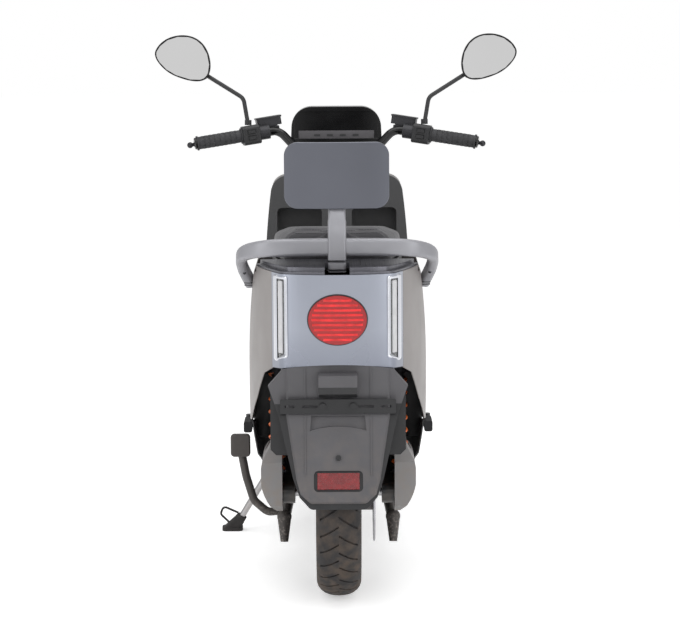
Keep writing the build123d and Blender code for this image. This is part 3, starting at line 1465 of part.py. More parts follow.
def guard_outline(inset):
    """The mudguard's outline in the rear view: broad at the bracket, narrow at the tip."""
    half = [(60, guard_tip[1]), (84, 275), (98, 314), (130, 444), (152, 508), (124, 540), (121, guard_top[1])]
    points = [(x - inset, z + (inset if z < 260 else 0)) for x, z in half]
    points += [(-x, z) for x, z in reversed(points)]
    form = rear_profile(points, (-930, -760))
    form = fillet(form.edges().filter_by(Axis.Y).group_by(Axis.Z)[0], 14 - inset)
    return form & under_arch(seat_gap)


def guard_slab(start, depth):
    """A bent slab that follows the mudguard in the side view."""
    line = [guard_top, guard_bend, guard_tip]
    points = [(y + start, z) for y, z in line] + [(y + start + depth, z) for y, z in reversed(line)]
    return side_profile(points, (-300, 300))


mudguard = guard_outline(0) & guard_slab(0, guard_depth)
mudguard -= guard_outline(guard_skin_wall) & guard_slab(guard_skin_wall, guard_depth)
raised_outline = [(-60, raised_low), (60, raised_low), (82, 281), (91, 312), (113, 444), (112, guard_top[1])]
raised_outline += [(-x, z) for x, z in reversed(raised_outline[2:])]
raised = rear_profile(raised_outline, (-930, -760))
raised = fillet(raised.edges().filter_by(Axis.Y).group_by(Axis.Z)[0], 14)
mudguard += raised & guard_slab(-raised_height, raised_height + guard_skin_wall) & under_arch(seat_gap)
mudguard = chamfer(mudguard.edges().filter_by(raised_rim), raised_bevel)
arch = [Line((58, 444), (-58, 444)), Line((-58, 444), (-61, 413)), Line((58, 444), (61, 413))]
arch.append(ThreePointArc((-61, 413), (0, 422), (61, 413)))
recess = extrude(Plane.XZ.offset(760) * make_face(Curve() + arch), amount=170)
mudguard -= recess & guard_slab(-raised_height - 1, raised_height + 2)
rib = rear_profile([(70, 322), (73, 322), (73, guard_top[1]), (70, guard_top[1])], (-930, -760))
rib &= guard_slab(-raised_height - 2.0, raised_height + guard_skin_wall)
mudguard += both_sides(rib & under_arch(seat_gap))
splash = block((96, 148), (-817, -812), (352, 500))
splash = chamfer(splash.edges().filter_by(Axis.Y).group_by(Axis.Z)[0], 12)
mudguard += both_sides(splash)
lamp_box = side_profile(
    [(-838, 542), (-874, 535), (-884, 513), (-880, 496), (-856, 486), (-836, 484)], (-42, 42)
)
mudguard += fillet(lamp_box.edges().filter_by(Axis.X).group_by(Axis.Y)[0], 5)
flap = Plane(
    origin=(0, guard_tip[0] + (307 - guard_tip[1]) * tan(radians(flap_angle)), 307),
    x_dir=(1, 0, 0),
    z_dir=(0, -cos(radians(flap_angle)), sin(radians(flap_angle))),
)
reflector_recess = fillet(Box(106, 46, 6).edges().filter_by(Axis.Z), 10)
mudguard -= flap * Pos(0, 0, raised_height - 0.2) * reflector_recess
mudguard += flap * Pos(0, 51, raised_height) * Cylinder(6, 8)
bracket_x, bracket_z = 33.0, 466.0
bracket_y = -850.0
for x in (-bracket_x, bracket_x):
    mudguard += rod((x, bracket_y + 0.3, bracket_z), (x, guard_bend[0] + 1, bracket_z), 6)
keep("rear_mudguard", mudguard)
reflector = flap * Pos(0, 0, raised_height - 0.7) * Box(91, 36, 4.4)
keep("reflector", fillet(reflector.edges().group_by(Axis.Y)[0], 1.5))

bracket = block((-126, 126), (bracket_y - 3, bracket_y), (449, 481))
bracket = fillet(bracket.edges().filter_by(Axis.Y), 3)
slot_x, slot_length, slot_width = 61.0, 34.0, 6.0


def bracket_slot(x, length):
    """A round-ended slot through the plate bracket."""
    plane = Plane(origin=(x, bracket_y + 1, 465), x_dir=(1, 0, 0), z_dir=(0, -1, 0))
    return extrude(plane * SlotOverall(length, slot_width), amount=8)


bracket -= both_sides(bracket_slot(slot_x, slot_length)) + both_sides(bracket_slot(105.0, 22.0))
for x in (-bracket_x, bracket_x):
    bracket += rod((x, bracket_y - 8, bracket_z), (x, bracket_y - 2.9, bracket_z), 7)
keep("plate_bracket", bracket)


# ---------------------------------------------------------------- mirrors, display and pegs
mirror_x, mirror_y, mirror_z = 404.0, 372.0, 1190.0
mirror_thickness = 16.0
mirror_wall = 2.5
stem_radius = 5.5
stem_foot = Vector(232.0, 350.0, 1017.0)
stem_bend = Vector(244.0, 362.0, 1086.0)
ball = Vector(342.0, mirror_y + 14.0, 1146.0)
ball_radius = 7.0

stem = pipe([tuple(stem_foot), tuple(stem_bend), tuple(ball)], [26], stem_radius)
stem += rod(tuple(stem_foot - Vector(0, 0, 1)), tuple(stem_foot + Vector(0, 0, 12)), 9)
stem += Pos(*ball) * Sphere(ball_radius)
keep("mirror_stem_right", stem)
keep("mirror_stem_left", other_side(stem))


def mirror_outline(inset, y_span):
    """A teardrop that narrows towards its lower inner corner."""
    half_width, half_height = 69.5 - inset, 54.0 - inset
    shape = [(1.0, 0.42), (0.55, 0.98), (-0.5, 1.0), (-1.0, 0.2), (-0.9, -0.96), (0.1, -0.92), (0.8, -0.34)]
    points = [(mirror_x + u * half_width, mirror_z + v * half_height) for u, v in shape]
    face = Plane.XZ.offset(-y_span[0]) * make_face(Spline(*points, periodic=True))
    return extrude(face, amount=y_span[0] - y_span[1])


head = mirror_outline(0, (mirror_y - mirror_thickness / 2, mirror_y + mirror_thickness / 2))
glass_y = mirror_y - mirror_thickness / 2
head -= mirror_outline(mirror_wall, (glass_y - 1, glass_y + 2))
socket = Pos(*ball) * Sphere(ball_radius + 4) - Pos(*ball) * Sphere(ball_radius + 0.3)
socket -= rod(tuple(ball), tuple(ball + (stem_bend - ball).normalized() * 30), stem_radius + 5)
head = head + socket - Pos(*ball) * Sphere(ball_radius + 0.3)
head -= rod(tuple(ball), tuple(ball + (stem_bend - ball).normalized() * 60), stem_radius + 4)
keep("mirror_head_right", head)
keep("mirror_head_left", other_side(head))


display_half, display_low, display_high = 122.0, 936.0, 1062.0
display_y = (373.0, 446.0)
dome = Plane.XZ.offset(-display_y[0]) * make_face(
    Polyline((-display_half, display_low), (display_half, display_low), (display_half - 6, display_high),
             (-display_half + 6, display_high), close=True)
)
display = extrude(dome, amount=display_y[0] - display_y[1])
display = fillet(display.edges().filter_by(Axis.Y).group_by(Axis.Z)[-1], 54)
display = chamfer(display.edges().group_by(Axis.Y)[-1], 14)
display -= block((-display_half + 12, display_half - 12), (display_y[0] - 1, display_y[0] + 4),
                 (display_low + 42, display_high - 14))
display += block((-22, 22), (display_y[0] - 18, display_y[0] + 6), (display_low - 8, display_low + 14))
display -= rod((-60, bar_centre_y, bar_clamp_height), (60, bar_centre_y, bar_clamp_height), bar_radius + 8.3)
keep("display_housing", display)

peg_length = 96.0
peg = Pos(peg_pin_x, peg_y, peg_z) * Cylinder(9, peg_eye_height)
peg += block((peg_pin_x - 7, peg_pin_x + 7), (peg_y - 24, peg_y), (peg_z - 8, peg_z + 8))
peg_pad = block((peg_pin_x - 9, peg_pin_x + 11), (peg_y - peg_length, peg_y - 20), (peg_z - 13, peg_z + 13))
peg_pad = fillet(peg_pad.edges().filter_by(Axis.Y), 5)
peg_pad -= [
    block((peg_pin_x + 9, peg_pin_x + 12), (y - 2, y + 2), (peg_z - 14, peg_z + 14))
    for y in range(int(peg_y - peg_length) + 10, int(peg_y) - 24, 9)
]
peg = peg + peg_pad - Pos(peg_pin_x, peg_y, peg_z) * Cylinder(peg_pin_radius + bearing_fit, 40)
keep("peg_right", peg)
keep("peg_left", other_side(peg))

# ---------------------------------------------------------------- export
os.makedirs("parts", exist_ok=True)
for name, shape in parts.items():
    shape.label = name
    export_step(shape, f"parts/{name}.step")
    print(name, len(shape.solids()))
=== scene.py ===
"""Looks for a step-through moped scooter: finishes, soft goods, tyres, lamps and small fittings."""
import json
import math

import bmesh
import bpy
from mathutils import Matrix, Vector
from mathutils.bvhtree import BVHTree


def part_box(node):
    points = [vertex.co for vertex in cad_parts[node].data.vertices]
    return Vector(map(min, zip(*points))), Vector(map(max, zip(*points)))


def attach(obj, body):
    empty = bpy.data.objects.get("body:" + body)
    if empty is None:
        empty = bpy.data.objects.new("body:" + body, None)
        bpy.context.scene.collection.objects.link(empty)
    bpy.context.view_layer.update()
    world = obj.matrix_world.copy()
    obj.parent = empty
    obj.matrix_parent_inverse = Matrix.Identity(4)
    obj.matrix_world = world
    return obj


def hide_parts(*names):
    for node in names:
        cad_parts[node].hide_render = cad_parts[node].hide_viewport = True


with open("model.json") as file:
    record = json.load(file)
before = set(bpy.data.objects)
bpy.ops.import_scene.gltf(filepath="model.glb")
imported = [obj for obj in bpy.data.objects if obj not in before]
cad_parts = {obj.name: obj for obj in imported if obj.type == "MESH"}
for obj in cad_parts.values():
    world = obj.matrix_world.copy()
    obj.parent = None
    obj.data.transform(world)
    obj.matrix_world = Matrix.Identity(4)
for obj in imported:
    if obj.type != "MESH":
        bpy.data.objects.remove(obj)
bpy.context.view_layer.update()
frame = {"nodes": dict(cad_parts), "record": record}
solids = frame["nodes"]
scene = bpy.context.scene
WELD = 0.00001


# ---------------------------------------------------------------- finishes
def tone(red, green, blue):
    """A colour given as 0 to 255 per channel, in linear light."""
    def linear(c):
        c /= 255
        return c / 12.92 if c <= 0.04045 else ((c + 0.055) / 1.055) ** 2.4
    return (linear(red), linear(green), linear(blue), 1.0)


class Finish:
    """A procedural material that is built up in layers."""

    def __init__(self, name, colour, roughness=0.5, metallic=0.0, **shader):
        self.material = bpy.data.materials.new(name)
        self.material.use_nodes = True
        self.tree = self.material.node_tree
        self.shader = self.tree.nodes["Principled BSDF"]
        self.shader.inputs["Metallic"].default_value = metallic
        for key, value in shader.items():
            self.shader.inputs[key.replace("_", " ")].default_value = value
        self.place = self.add("ShaderNodeTexCoord").outputs["Object"]
        self.base_colour, self.base_roughness = colour, roughness
        self.shader.inputs["Base Color"].default_value = colour
        self.shader.inputs["Roughness"].default_value = roughness
        self.slot = None

    def add(self, kind, **settings):
        node = self.tree.nodes.new(kind)
        for key, value in settings.items():
            setattr(node, key, value)
        return node

    def join(self, source, target):
        self.tree.links.new(source, target)

    def stretched(self, scale):
        """Object coordinates scaled unevenly, for brushed and streaky patterns."""
        node = self.add("ShaderNodeMapping")
        node.inputs["Scale"].default_value = scale
        self.join(self.place, node.inputs["Vector"])
        return node.outputs["Vector"]

    def noise(self, scale, detail=3.0, along=None):
        node = self.add("ShaderNodeTexNoise")
        node.inputs["Scale"].default_value = scale
        node.inputs["Detail"].default_value = detail
        self.join(along or self.place, node.inputs["Vector"])
        return node.outputs["Fac"]

    def cells(self, scale, feature="F1", along=None):
        node = self.add("ShaderNodeTexVoronoi", feature=feature)
        node.inputs["Scale"].default_value = scale
        self.join(along or self.place, node.inputs["Vector"])
        return node.outputs["Distance"]

    def spread(self, value, low, high, to_low=0.0, to_high=1.0):
        node = self.add("ShaderNodeMapRange")
        for key, number in zip(("From Min", "From Max", "To Min", "To Max"), (low, high, to_low, to_high)):
            node.inputs[key].default_value = number
        self.join(value, node.inputs["Value"])
        return node.outputs["Result"]

    def times(self, first, second, operation="MULTIPLY"):
        node = self.add("ShaderNodeMath", operation=operation)
        for value, socket in ((first, node.inputs[0]), (second, node.inputs[1])):
            if isinstance(value, (int, float)):
                socket.default_value = value
            else:
                self.join(value, socket)
        return node.outputs[0]

    def level(self, axis="Z"):
        node = self.add("ShaderNodeSeparateXYZ")
        self.join(self.place, node.inputs[0])
        return node.outputs[axis]

    def layer(self, factor, colour):
        """Lay a colour over what is there, where the factor is high."""
        node = self.add("ShaderNodeMix", data_type="RGBA")
        self.join(factor, node.inputs["Factor"])
        base = self.shader.inputs["Base Color"]
        if base.is_linked:
            self.join(base.links[0].from_socket, node.inputs[6])
        else:
            node.inputs[6].default_value = base.default_value
        node.inputs[7].default_value = colour
        self.join(node.outputs[2], base)
        return self

    def mottle(self, scale, amount, detail=3.0, along=None):
        """Soft uneven colour, a little darker and lighter than the base."""
        patches = self.spread(self.noise(scale, detail, along), 0.35, 0.65)
        dark = tuple(c * (1 - amount) for c in self.base_colour[:3]) + (1.0,)
        light = tuple(min(1.0, c * (1 + amount)) for c in self.base_colour[:3]) + (1.0,)
        self.shader.inputs["Base Color"].default_value = dark
        return self.layer(patches, light)

    def worn_gloss(self, scale, amount, along=None):
        """Uneven roughness, from handling and cleaning."""
        low = max(0.02, self.base_roughness - amount)
        self.join(self.spread(self.noise(scale, 4.0, along), 0.3, 0.7, low, self.base_roughness + amount),
                  self.shader.inputs["Roughness"])
        return self

    def relief(self, height, strength, depth):
        """Bump from a height, added on top of any bump before it."""
        node = self.add("ShaderNodeBump")
        node.inputs["Strength"].default_value = strength
        node.inputs["Distance"].default_value = depth
        self.join(height, node.inputs["Height"])
        normal = self.shader.inputs["Normal"]
        if normal.is_linked:
            self.join(normal.links[0].from_socket, node.inputs["Normal"])
        self.join(node.outputs["Normal"], normal)
        return self

    def dust(self, low, high, colour, amount=0.5):
        """Road dust that thins out with height."""
        near_ground = self.spread(self.level("Z"), low, high, amount, 0.0)
        patches = self.spread(self.noise(38.0, 5.0), 0.38, 0.66)
        return self.layer(self.times(near_ground, patches), colour)


def moulded(name, colour, roughness, grain=1400.0, depth=0.00006, mottling=0.05):
    """Moulded plastic with a fine spark-eroded grain."""
    f = Finish(name, colour, roughness)
    f.mottle(9.0, mottling).worn_gloss(26.0, 0.06)
    f.relief(f.cells(grain), 0.35, depth)
    return f


def painted(name, colour, roughness, coat=0.0):
    """Smooth paint with a faint orange-peel surface."""
    f = Finish(name, colour, roughness, Coat_Weight=coat, Coat_Roughness=0.12)
    f.mottle(5.0, 0.035).worn_gloss(14.0, 0.04)
    f.relief(f.noise(420.0, 2.0), 0.06, 0.0001)
    return f


def brushed(name, colour, roughness, along, strength=0.12):
    """Metal or metallised plastic brushed one way."""
    f = Finish(name, colour, roughness, metallic=0.92)
    streaks = f.noise(1.0, 5.0, f.stretched(along))
    f.mottle(3.0, 0.05)
    f.layer(f.spread(streaks, 0.35, 0.75, 0.0, 0.25), tuple(c * 0.72 for c in colour[:3]) + (1.0,))
    f.join(f.spread(streaks, 0.3, 0.7, roughness - 0.05, roughness + 0.08), f.shader.inputs["Roughness"])
    f.relief(streaks, strength, 0.00008)
    return f


def metallised(name, colour, roughness):
    """Satin metallised plastic: almost smooth, with a very fine flake and soft cloudiness."""
    f = Finish(name, colour, roughness, metallic=0.9, Coat_Weight=0.15, Coat_Roughness=0.2)
    f.mottle(4.0, 0.03).worn_gloss(9.0, 0.035)
    f.relief(f.cells(2600.0), 0.05, 0.00003)
    return f


def cast(name, colour, roughness, metallic=0.75):
    """Cast and satin-lacquered alloy."""
    f = Finish(name, colour, roughness, metallic=metallic)
    f.mottle(14.0, 0.06).worn_gloss(30.0, 0.06)
    f.relief(f.noise(900.0, 3.0), 0.18, 0.00012)
    return f


def black_rubber(name, colour, roughness=0.72, grain=700.0):
    f = Finish(name, colour, roughness, Specular_IOR_Level=0.35)
    f.mottle(22.0, 0.12, 5.0).worn_gloss(40.0, 0.08)
    f.relief(f.noise(grain, 4.0), 0.3, 0.00018)
    return f


def hide(name, colour, roughness=0.5, pore=520.0):
    """Pebbled seat leathercloth, with painted shade in the pebble hollows."""
    f = Finish(name, colour, roughness, Sheen_Weight=0.12, Sheen_Roughness=0.4)
    f.mottle(16.0, 0.08, 4.0)
    pebbles = f.cells(pore)
    # painted shade: the pebble hollows, where the bump makes its pits, are darkened
    f.layer(f.spread(pebbles, 0.0, 0.35, 0.55, 0.0), tuple(c * 0.6 for c in colour[:3]) + (1.0,))
    f.relief(pebbles, 0.42, 0.0004)
    f.relief(f.noise(60.0, 3.0), 0.15, 0.0012)
    f.worn_gloss(24.0, 0.07)
    return f


ROAD_DUST = tone(148, 128, 108)
panel_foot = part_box("tail_panel")[0].z
satin_paint = painted("warm_grey_paint", tone(134, 129, 127), 0.42)
trim_plastic = moulded("dark_trim", tone(56, 56, 57), 0.58)
shield_plastic = moulded("shield_plastic", tone(58, 58, 59), 0.5, 900.0, 0.00004)
guard_plastic = moulded("mudguard_plastic", tone(84, 83, 86), 0.5, 1100.0, 0.00008)
guard_plastic.dust(0.24, 0.46, ROAD_DUST, 0.16)
gloss_black = painted("gloss_black", tone(8, 8, 9), 0.16, coat=0.2)
gloss_black.shader.inputs["Specular IOR Level"].default_value = 0.3
satin_black = moulded("satin_black", tone(30, 30, 32), 0.46, 1600.0)
tail_metal = metallised("tail_panel_metal", tone(156, 160, 171), 0.3)
# painted shade: the tail panel darkens over its lowest 9 cm, towards its foot
tail_metal.layer(tail_metal.spread(tail_metal.level("Z"), panel_foot, panel_foot + 0.09, 0.55, 0.0),
                 tone(112, 116, 128))
shell_metal = metallised("backrest_metal", tone(104, 106, 114), 0.33)
ledge_metal = brushed("deck_metal", tone(104, 104, 110), 0.32, (320.0, 3.0, 3.0), 0.05)
rail_alloy = cast("grab_rail_alloy", tone(150, 150, 155), 0.4, 0.35)
cover_grey = moulded("cover_grey", tone(140, 138, 138), 0.55, 800.0, 0.0001)
cover_grey.dust(0.22, 0.40, ROAD_DUST, 0.3)
leather = hide("seat_leather", tone(56, 55, 59), 0.52)
pad_leather = hide("pad_leather", tone(50, 50, 53), 0.5, 560.0)
frame_paint = painted("frame_black", tone(26, 26, 28), 0.4, coat=0.2)
frame_paint.dust(0.08, 0.34, ROAD_DUST, 0.35)
zinc = cast("zinc_plate", tone(176, 176, 178), 0.34, 0.95)
zinc.dust(0.1, 0.5, ROAD_DUST, 0.25)
bright_chrome = cast("bright_chrome", tone(226, 228, 232), 0.1, 1.0)
alloy_black = cast("black_alloy", tone(52, 52, 55), 0.42, 0.5)
alloy_black.dust(0.05, 0.42, ROAD_DUST, 0.3)
motor_grey = cast("motor_cover", tone(108, 108, 112), 0.42, 0.7)
motor_grey.dust(0.05, 0.42, ROAD_DUST, 0.35)
grip_rubber = black_rubber("grip_rubber", tone(58, 58, 60), 0.66)
tyre_rubber = black_rubber("tyre_rubber", tone(52, 50, 50), 0.78, 420.0)
tyre_rubber.dust(-0.05, 0.52, tone(122, 104, 88), 0.42)
spring_paint = painted("orange_spring", tone(216, 104, 44), 0.36, coat=0.3)
spring_paint.dust(0.2, 0.45, ROAD_DUST, 0.2)
cast_stand = cast("stand_steel", tone(74, 70, 68), 0.5, 0.4)
scuffed = cast_stand.times(cast_stand.spread(cast_stand.level("Z"), 0.13, 0.19, 1.0, 0.0),
                           cast_stand.spread(cast_stand.noise(160.0, 8.0), 0.5, 0.62))
cast_stand.layer(cast_stand.times(scuffed, 0.45), tone(150, 142, 134))
red_plastic = Finish("red_lens", tone(186, 16, 22), 0.12, Coat_Weight=0.5, Transmission_Weight=0.25,
                     IOR=1.49)
red_plastic.mottle(30.0, 0.1)
reflex_red = Finish("reflex_red", tone(120, 10, 16), 0.14, Coat_Weight=0.4)
reflex_red.mottle(60.0, 0.2)
reflex_red.relief(reflex_red.cells(330.0, "F1"), 0.9, 0.0012)
lamp_core = Finish("lamp_core", tone(226, 44, 46), 0.3)
lamp_core.mottle(45.0, 0.22)
clear_plastic = Finish("clear_lens", tone(238, 240, 242), 0.06, Transmission_Weight=0.9, IOR=1.48)
clear_plastic.relief(clear_plastic.noise(160.0, 1.0), 0.05, 0.0004)
clear_plastic.worn_gloss(30.0, 0.03)
amber_plastic = Finish("amber_lens", tone(214, 118, 30), 0.1, Transmission_Weight=0.4, IOR=1.49)
amber_plastic.relief(amber_plastic.cells(260.0), 0.5, 0.0008)
amber_plastic.mottle(40.0, 0.08)
silvered = Finish("mirror_glass", tone(252, 252, 252), 0.03, metallic=1.0)
silvered.mottle(4.0, 0.01)
disc_steel = Finish("disc_steel", tone(168, 168, 172), 0.3, metallic=0.95)
disc_steel.mottle(20.0, 0.06).worn_gloss(60.0, 0.08)
stitch_thread = Finish("stitching", tone(52, 52, 56), 0.7)
stitch_thread.mottle(300.0, 0.2)
stitch_thread.relief(stitch_thread.noise(2600.0, 2.0), 0.5, 0.0002)
strip_chrome = Finish("strip_chrome", tone(206, 208, 214), 0.14, metallic=1.0)
strip_chrome.mottle(12.0, 0.05).worn_gloss(30.0, 0.04)
light_guide = Finish("light_guide", tone(206, 206, 208), 0.35)
light_guide.mottle(60.0, 0.04)
light_guide.relief(light_guide.cells(500.0), 0.3, 0.0002)
strip_grey = moulded("display_strip", tone(70, 68, 71), 0.42)

# the record's slot that each finish belongs to
for slot_name, members in {
    "warm_grey_paint": (satin_paint, cover_grey),
    "dark_plastic": (trim_plastic, shield_plastic, guard_plastic, strip_grey),
    "black_plastic": (gloss_black, satin_black),
    "silver_panel": (tail_metal, shell_metal, ledge_metal),
    "cast_grey": (rail_alloy, motor_grey),
    "frame_black": (frame_paint, cast_stand),
    "steel": (zinc, disc_steel),
    "chrome": (bright_chrome, strip_chrome, silvered),
    "alloy": (alloy_black,),
    "rubber": (grip_rubber,),
    "tyre": (tyre_rubber,),
    "seat_leather": (leather, pad_leather, stitch_thread),
    "red_lens": (red_plastic, reflex_red, lamp_core),
    "clear_lens": (clear_plastic, light_guide, amber_plastic),
    "orange_spring": (spring_paint,),
}.items():
    for member in members:
        member.slot = slot_name


# ---------------------------------------------------------------- making pieces
def finished(name, bm, finish, body, smooth=40.0):
    """Turn a bmesh into an object that rides on a body."""
    mesh = bpy.data.meshes.new(name)
    bm.to_mesh(mesh)
    bm.free()
    mesh.shade_smooth()
    mesh.set_sharp_from_angle(angle=math.radians(smooth))
    piece = bpy.data.objects.new(name, mesh)
    scene.collection.objects.link(piece)
    mesh.materials.append(finish.material)
    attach(piece, body)
    return piece


def eased(piece, width, segments=2, angle=40.0):
    """Round a piece's sharp edges a little, so that they catch the light."""
    bevel = piece.modifiers.new("eased", "BEVEL")
    bevel.width, bevel.segments = width, segments
    bevel.limit_method, bevel.angle_limit = "ANGLE", math.radians(angle)
    bevel.harden_normals = False
    return piece


def body_of(node):
    """The moving body that a solid belongs to."""
    for body, members in frame["record"]["behaviour"]["bodies"].items():
        if node in members:
            return body


def merged_copy(node):
    """A solid's faces as a bmesh, joined at their corners."""
    bm = bmesh.new()
    bm.from_mesh(solids[node].data)
    bmesh.ops.remove_doubles(bm, verts=bm.verts, dist=WELD)
    return bm


def skinned(node, finish, ease=0.0012, smooth=32.0, flat=0.6):
    """A merged copy of a solid, with eased edges and smooth curves, that stands for it."""
    bm = merged_copy(node)
    bmesh.ops.dissolve_limit(bm, angle_limit=math.radians(flat), verts=bm.verts, edges=bm.edges)
    piece = finished(node + "_skin", bm, finish, body_of(node), smooth)
    if ease:
        eased(piece, ease, 2, smooth + 6)
        weights = piece.modifiers.new("weights", "WEIGHTED_NORMAL")
        weights.keep_sharp = True
    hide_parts(node)
    return piece


def coloured(node, finish):
    """Give a solid that stays its own finish."""
    mesh = solids[node].data
    mesh.materials.clear()
    mesh.materials.append(finish.material)


def aim(bm, verts, place, axis, roll=0.0):
    """Turn new geometry from local Z to an axis and set it in place."""
    turn = Vector(axis).to_track_quat("Z", "Y").to_matrix().to_4x4()
    matrix = Matrix.Translation(Vector(place)) @ turn @ Matrix.Rotation(roll, 4, "Z")
    bmesh.ops.transform(bm, matrix=matrix, verts=verts)


def turned(bm, outline, steps):
    """Spin an outline of (radius, height) pairs about Z."""
    verts = [bm.verts.new((r, 0.0, h)) for r, h in outline]
    edges = [bm.edges.new(pair) for pair in zip(verts, verts[1:])]
    bmesh.ops.spin(bm, geom=verts + edges, cent=(0, 0, 0), axis=(0, 0, 1),
                   angle=math.tau, steps=steps, use_merge=True)


def plate(bm, size, place, axis=(0, 0, 1), ease=0.001, roll=0.0, segments=2):
    """A flat block with rounded edges, its Z along the axis."""
    made = bmesh.ops.create_cube(bm, size=1.0)["verts"]
    bmesh.ops.scale(bm, vec=size, verts=made)
    if ease:
        edges = {e for v in made for e in v.link_edges}
        rounded = bmesh.ops.bevel(bm, geom=list(edges), offset=ease, affect="EDGES", segments=segments,
                                  profile=0.5, material=-1)
        made = list({v for f in rounded["faces"] for v in f.verts} | {v for v in made if v.is_valid})
    aim(bm, made, place, axis, roll)
    return made


def screw(bm, place, axis, radius, height, socket=0.5):
    """A round-headed screw with a hexagon socket, head outwards along the axis."""
    crown, socket_depth = 0.72, 0.6
    verts = bmesh.ops.create_cone(bm, cap_ends=True, segments=24, radius1=radius, radius2=radius * crown,
                                  depth=height)["verts"]
    top = max((f for v in verts for f in v.link_faces), key=lambda f: f.calc_center_median().z)
    inner = bmesh.ops.inset_individual(bm, faces=[top], thickness=radius * (crown - socket))
    sunk = bmesh.ops.extrude_discrete_faces(bm, faces=[top])["faces"]
    bmesh.ops.translate(bm, vec=(0, 0, -height * socket_depth), verts=sunk[0].verts)
    made = set(verts) | {v for f in inner["faces"] for v in f.verts} | set(sunk[0].verts)
    aim(bm, list(made), place, axis)


def screws(name, places, axis, finish, body, radius, height):
    """A row of equal screws as one piece."""
    bm = bmesh.new()
    for place in places:
        screw(bm, place, axis, radius, height)
    return finished(name, bm, finish, body, 30)


# ---------------------------------------------------------------- tyres
def treaded_tyre(node, body, pitches, groove):
    """A scooter tyre: round crown, slanted curved grooves, a scuffed shoulder and a plain sidewall."""
    low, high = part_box(node)
    centre = (low + high) / 2
    radius, half = (high.z - low.z) / 2, (high.x - low.x) / 2
    bead, slant, slant_from, sunk_by = 0.152, 0.62, 0.36, 0.0042
    depth = radius - bead
    outline = [(0.153, 0.62), (0.160, 0.70), (0.166, 0.74), (0.176, 0.86), (0.190, 0.97), (0.200, 1.0)]
    outline += [(radius - depth * drop, x) for drop, x in ((0.36, 0.985), (0.27, 0.94), (0.17, 0.82),
                                                           (0.085, 0.64), (0.035, 0.44), (0.008, 0.22))]
    right = [(r, x * half) for r, x in outline]
    profile = [(r, -x) for r, x in right] + [(radius, 0.0)] + [(r, x) for r, x in reversed(right)]
    bm = bmesh.new()
    turned(bm, profile, pitches * 6)
    bmesh.ops.remove_doubles(bm, verts=bm.verts, dist=WELD)
    bmesh.ops.recalc_face_normals(bm, faces=bm.faces)
    pitch = math.tau / pitches

    def cut(side, phase):
        """Cut one groove: two slanted planes bound it, and its floor sinks into the crown."""
        about = Matrix.Rotation(phase, 4, "Z")
        window = [f for f in bm.faces if abs(turn_of(f, phase)) < pitch * 1.9
                  and f.calc_center_median().xy.length > radius - depth * 0.22
                  and side * f.calc_center_median().z > -0.004]
        for offset in (-groove / 2, groove / 2):
            geom = list({g for f in window if f.is_valid for g in (f, *f.edges, *f.verts)})
            normal = about @ Vector((0, math.cos(slant), -side * math.sin(slant)))
            place = about @ Vector((radius, 0, side * half * slant_from)) + normal * offset
            result = bmesh.ops.bisect_plane(bm, geom=geom, plane_co=place, plane_no=normal, dist=0.00002)
            window = [g for g in result["geom"] if isinstance(g, bmesh.types.BMFace)]
        return window

    def turn_of(face, phase):
        c = face.calc_center_median()
        return (math.atan2(c.y, c.x) - phase + math.pi) % math.tau - math.pi

    sunk = []
    for index in range(pitches):
        for side in (-1, 1):
            phase = index * pitch + (pitch / 2 if side > 0 else 0)
            about = Matrix.Rotation(-phase, 3, "Z")
            for face in cut(side, phase):
                if not face.is_valid:
                    continue
                c = about @ face.calc_center_median()
                run = c.y * math.cos(slant) - side * (c.z - side * half * slant_from) * math.sin(slant)
                across = side * c.z / half
                if abs(run) < groove / 2 and 0.06 < across < 0.9 and c.x > 0:
                    sunk.append(face)
    sunk = [f for f in set(sunk) if f.is_valid]
    region = bmesh.ops.extrude_face_region(bm, geom=sunk)
    floor = [g for g in region["geom"] if isinstance(g, bmesh.types.BMVert)]
    for v in floor:
        v.co.xy *= (v.co.xy.length - sunk_by) / v.co.xy.length
    bmesh.ops.delete(bm, geom=[f for f in sunk if f.is_valid], context="FACES_ONLY")
    for v in bm.verts:
        v.co = Vector((v.co.z, v.co.x, v.co.y)) + centre
    bmesh.ops.recalc_face_normals(bm, faces=bm.faces)
    tyre = finished(node + "_tread", bm, tyre_rubber, body, 28)
    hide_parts(node)
    return tyre


treaded_tyre("rear_tyre", "rear_wheel", pitches=34, groove=0.0042)
treaded_tyre("front_tyre", "front_wheel", pitches=34, groove=0.0040)


# ---------------------------------------------------------------- seat and backrest pad
def swollen(piece, voxel, pressure, cap, shrink, pinned):
    """Inflate a pad like foam under a cover: remesh, press from inside, and limit how far it swells."""
    remesh = piece.modifiers.new("remesh", "REMESH")
    remesh.mode, remesh.voxel_size = "VOXEL", voxel
    apply_modifiers(piece)
    rest = [v.co.copy() for v in piece.data.vertices]
    normals = [v.normal.copy() for v in piece.data.vertices]
    for v, n in zip(piece.data.vertices, normals):
        v.co = v.co - n * shrink
    group = piece.vertex_groups.new(name="held")
    group.add([v.index for v in piece.data.vertices if pinned(v.co)], 1.0, "ADD")
    cloth = piece.modifiers.new("cloth", "CLOTH")
    cloth.settings.use_pressure = True
    cloth.settings.uniform_pressure_force = pressure
    cloth.settings.effector_weights.gravity = 0.0
    cloth.settings.vertex_group_mass = "held"
    cloth.settings.quality = 4
    cloth.settings.tension_stiffness = 12
    cloth.settings.compression_stiffness = 12
    first, last = 1, 20
    cloth.point_cache.frame_start, cloth.point_cache.frame_end = first, last
    for step in range(first, last + 1):
        scene.frame_set(step)
    swelled = piece.evaluated_get(bpy.context.evaluated_depsgraph_get())
    swelled_places = [v.co.copy() for v in swelled.data.vertices]
    piece.modifiers.remove(cloth)
    scene.frame_set(first)
    for v, start, end in zip(piece.data.vertices, rest, swelled_places):
        move = end - start
        v.co = start + move * min(1.0, cap / max(move.length, 1e-9))
    return piece


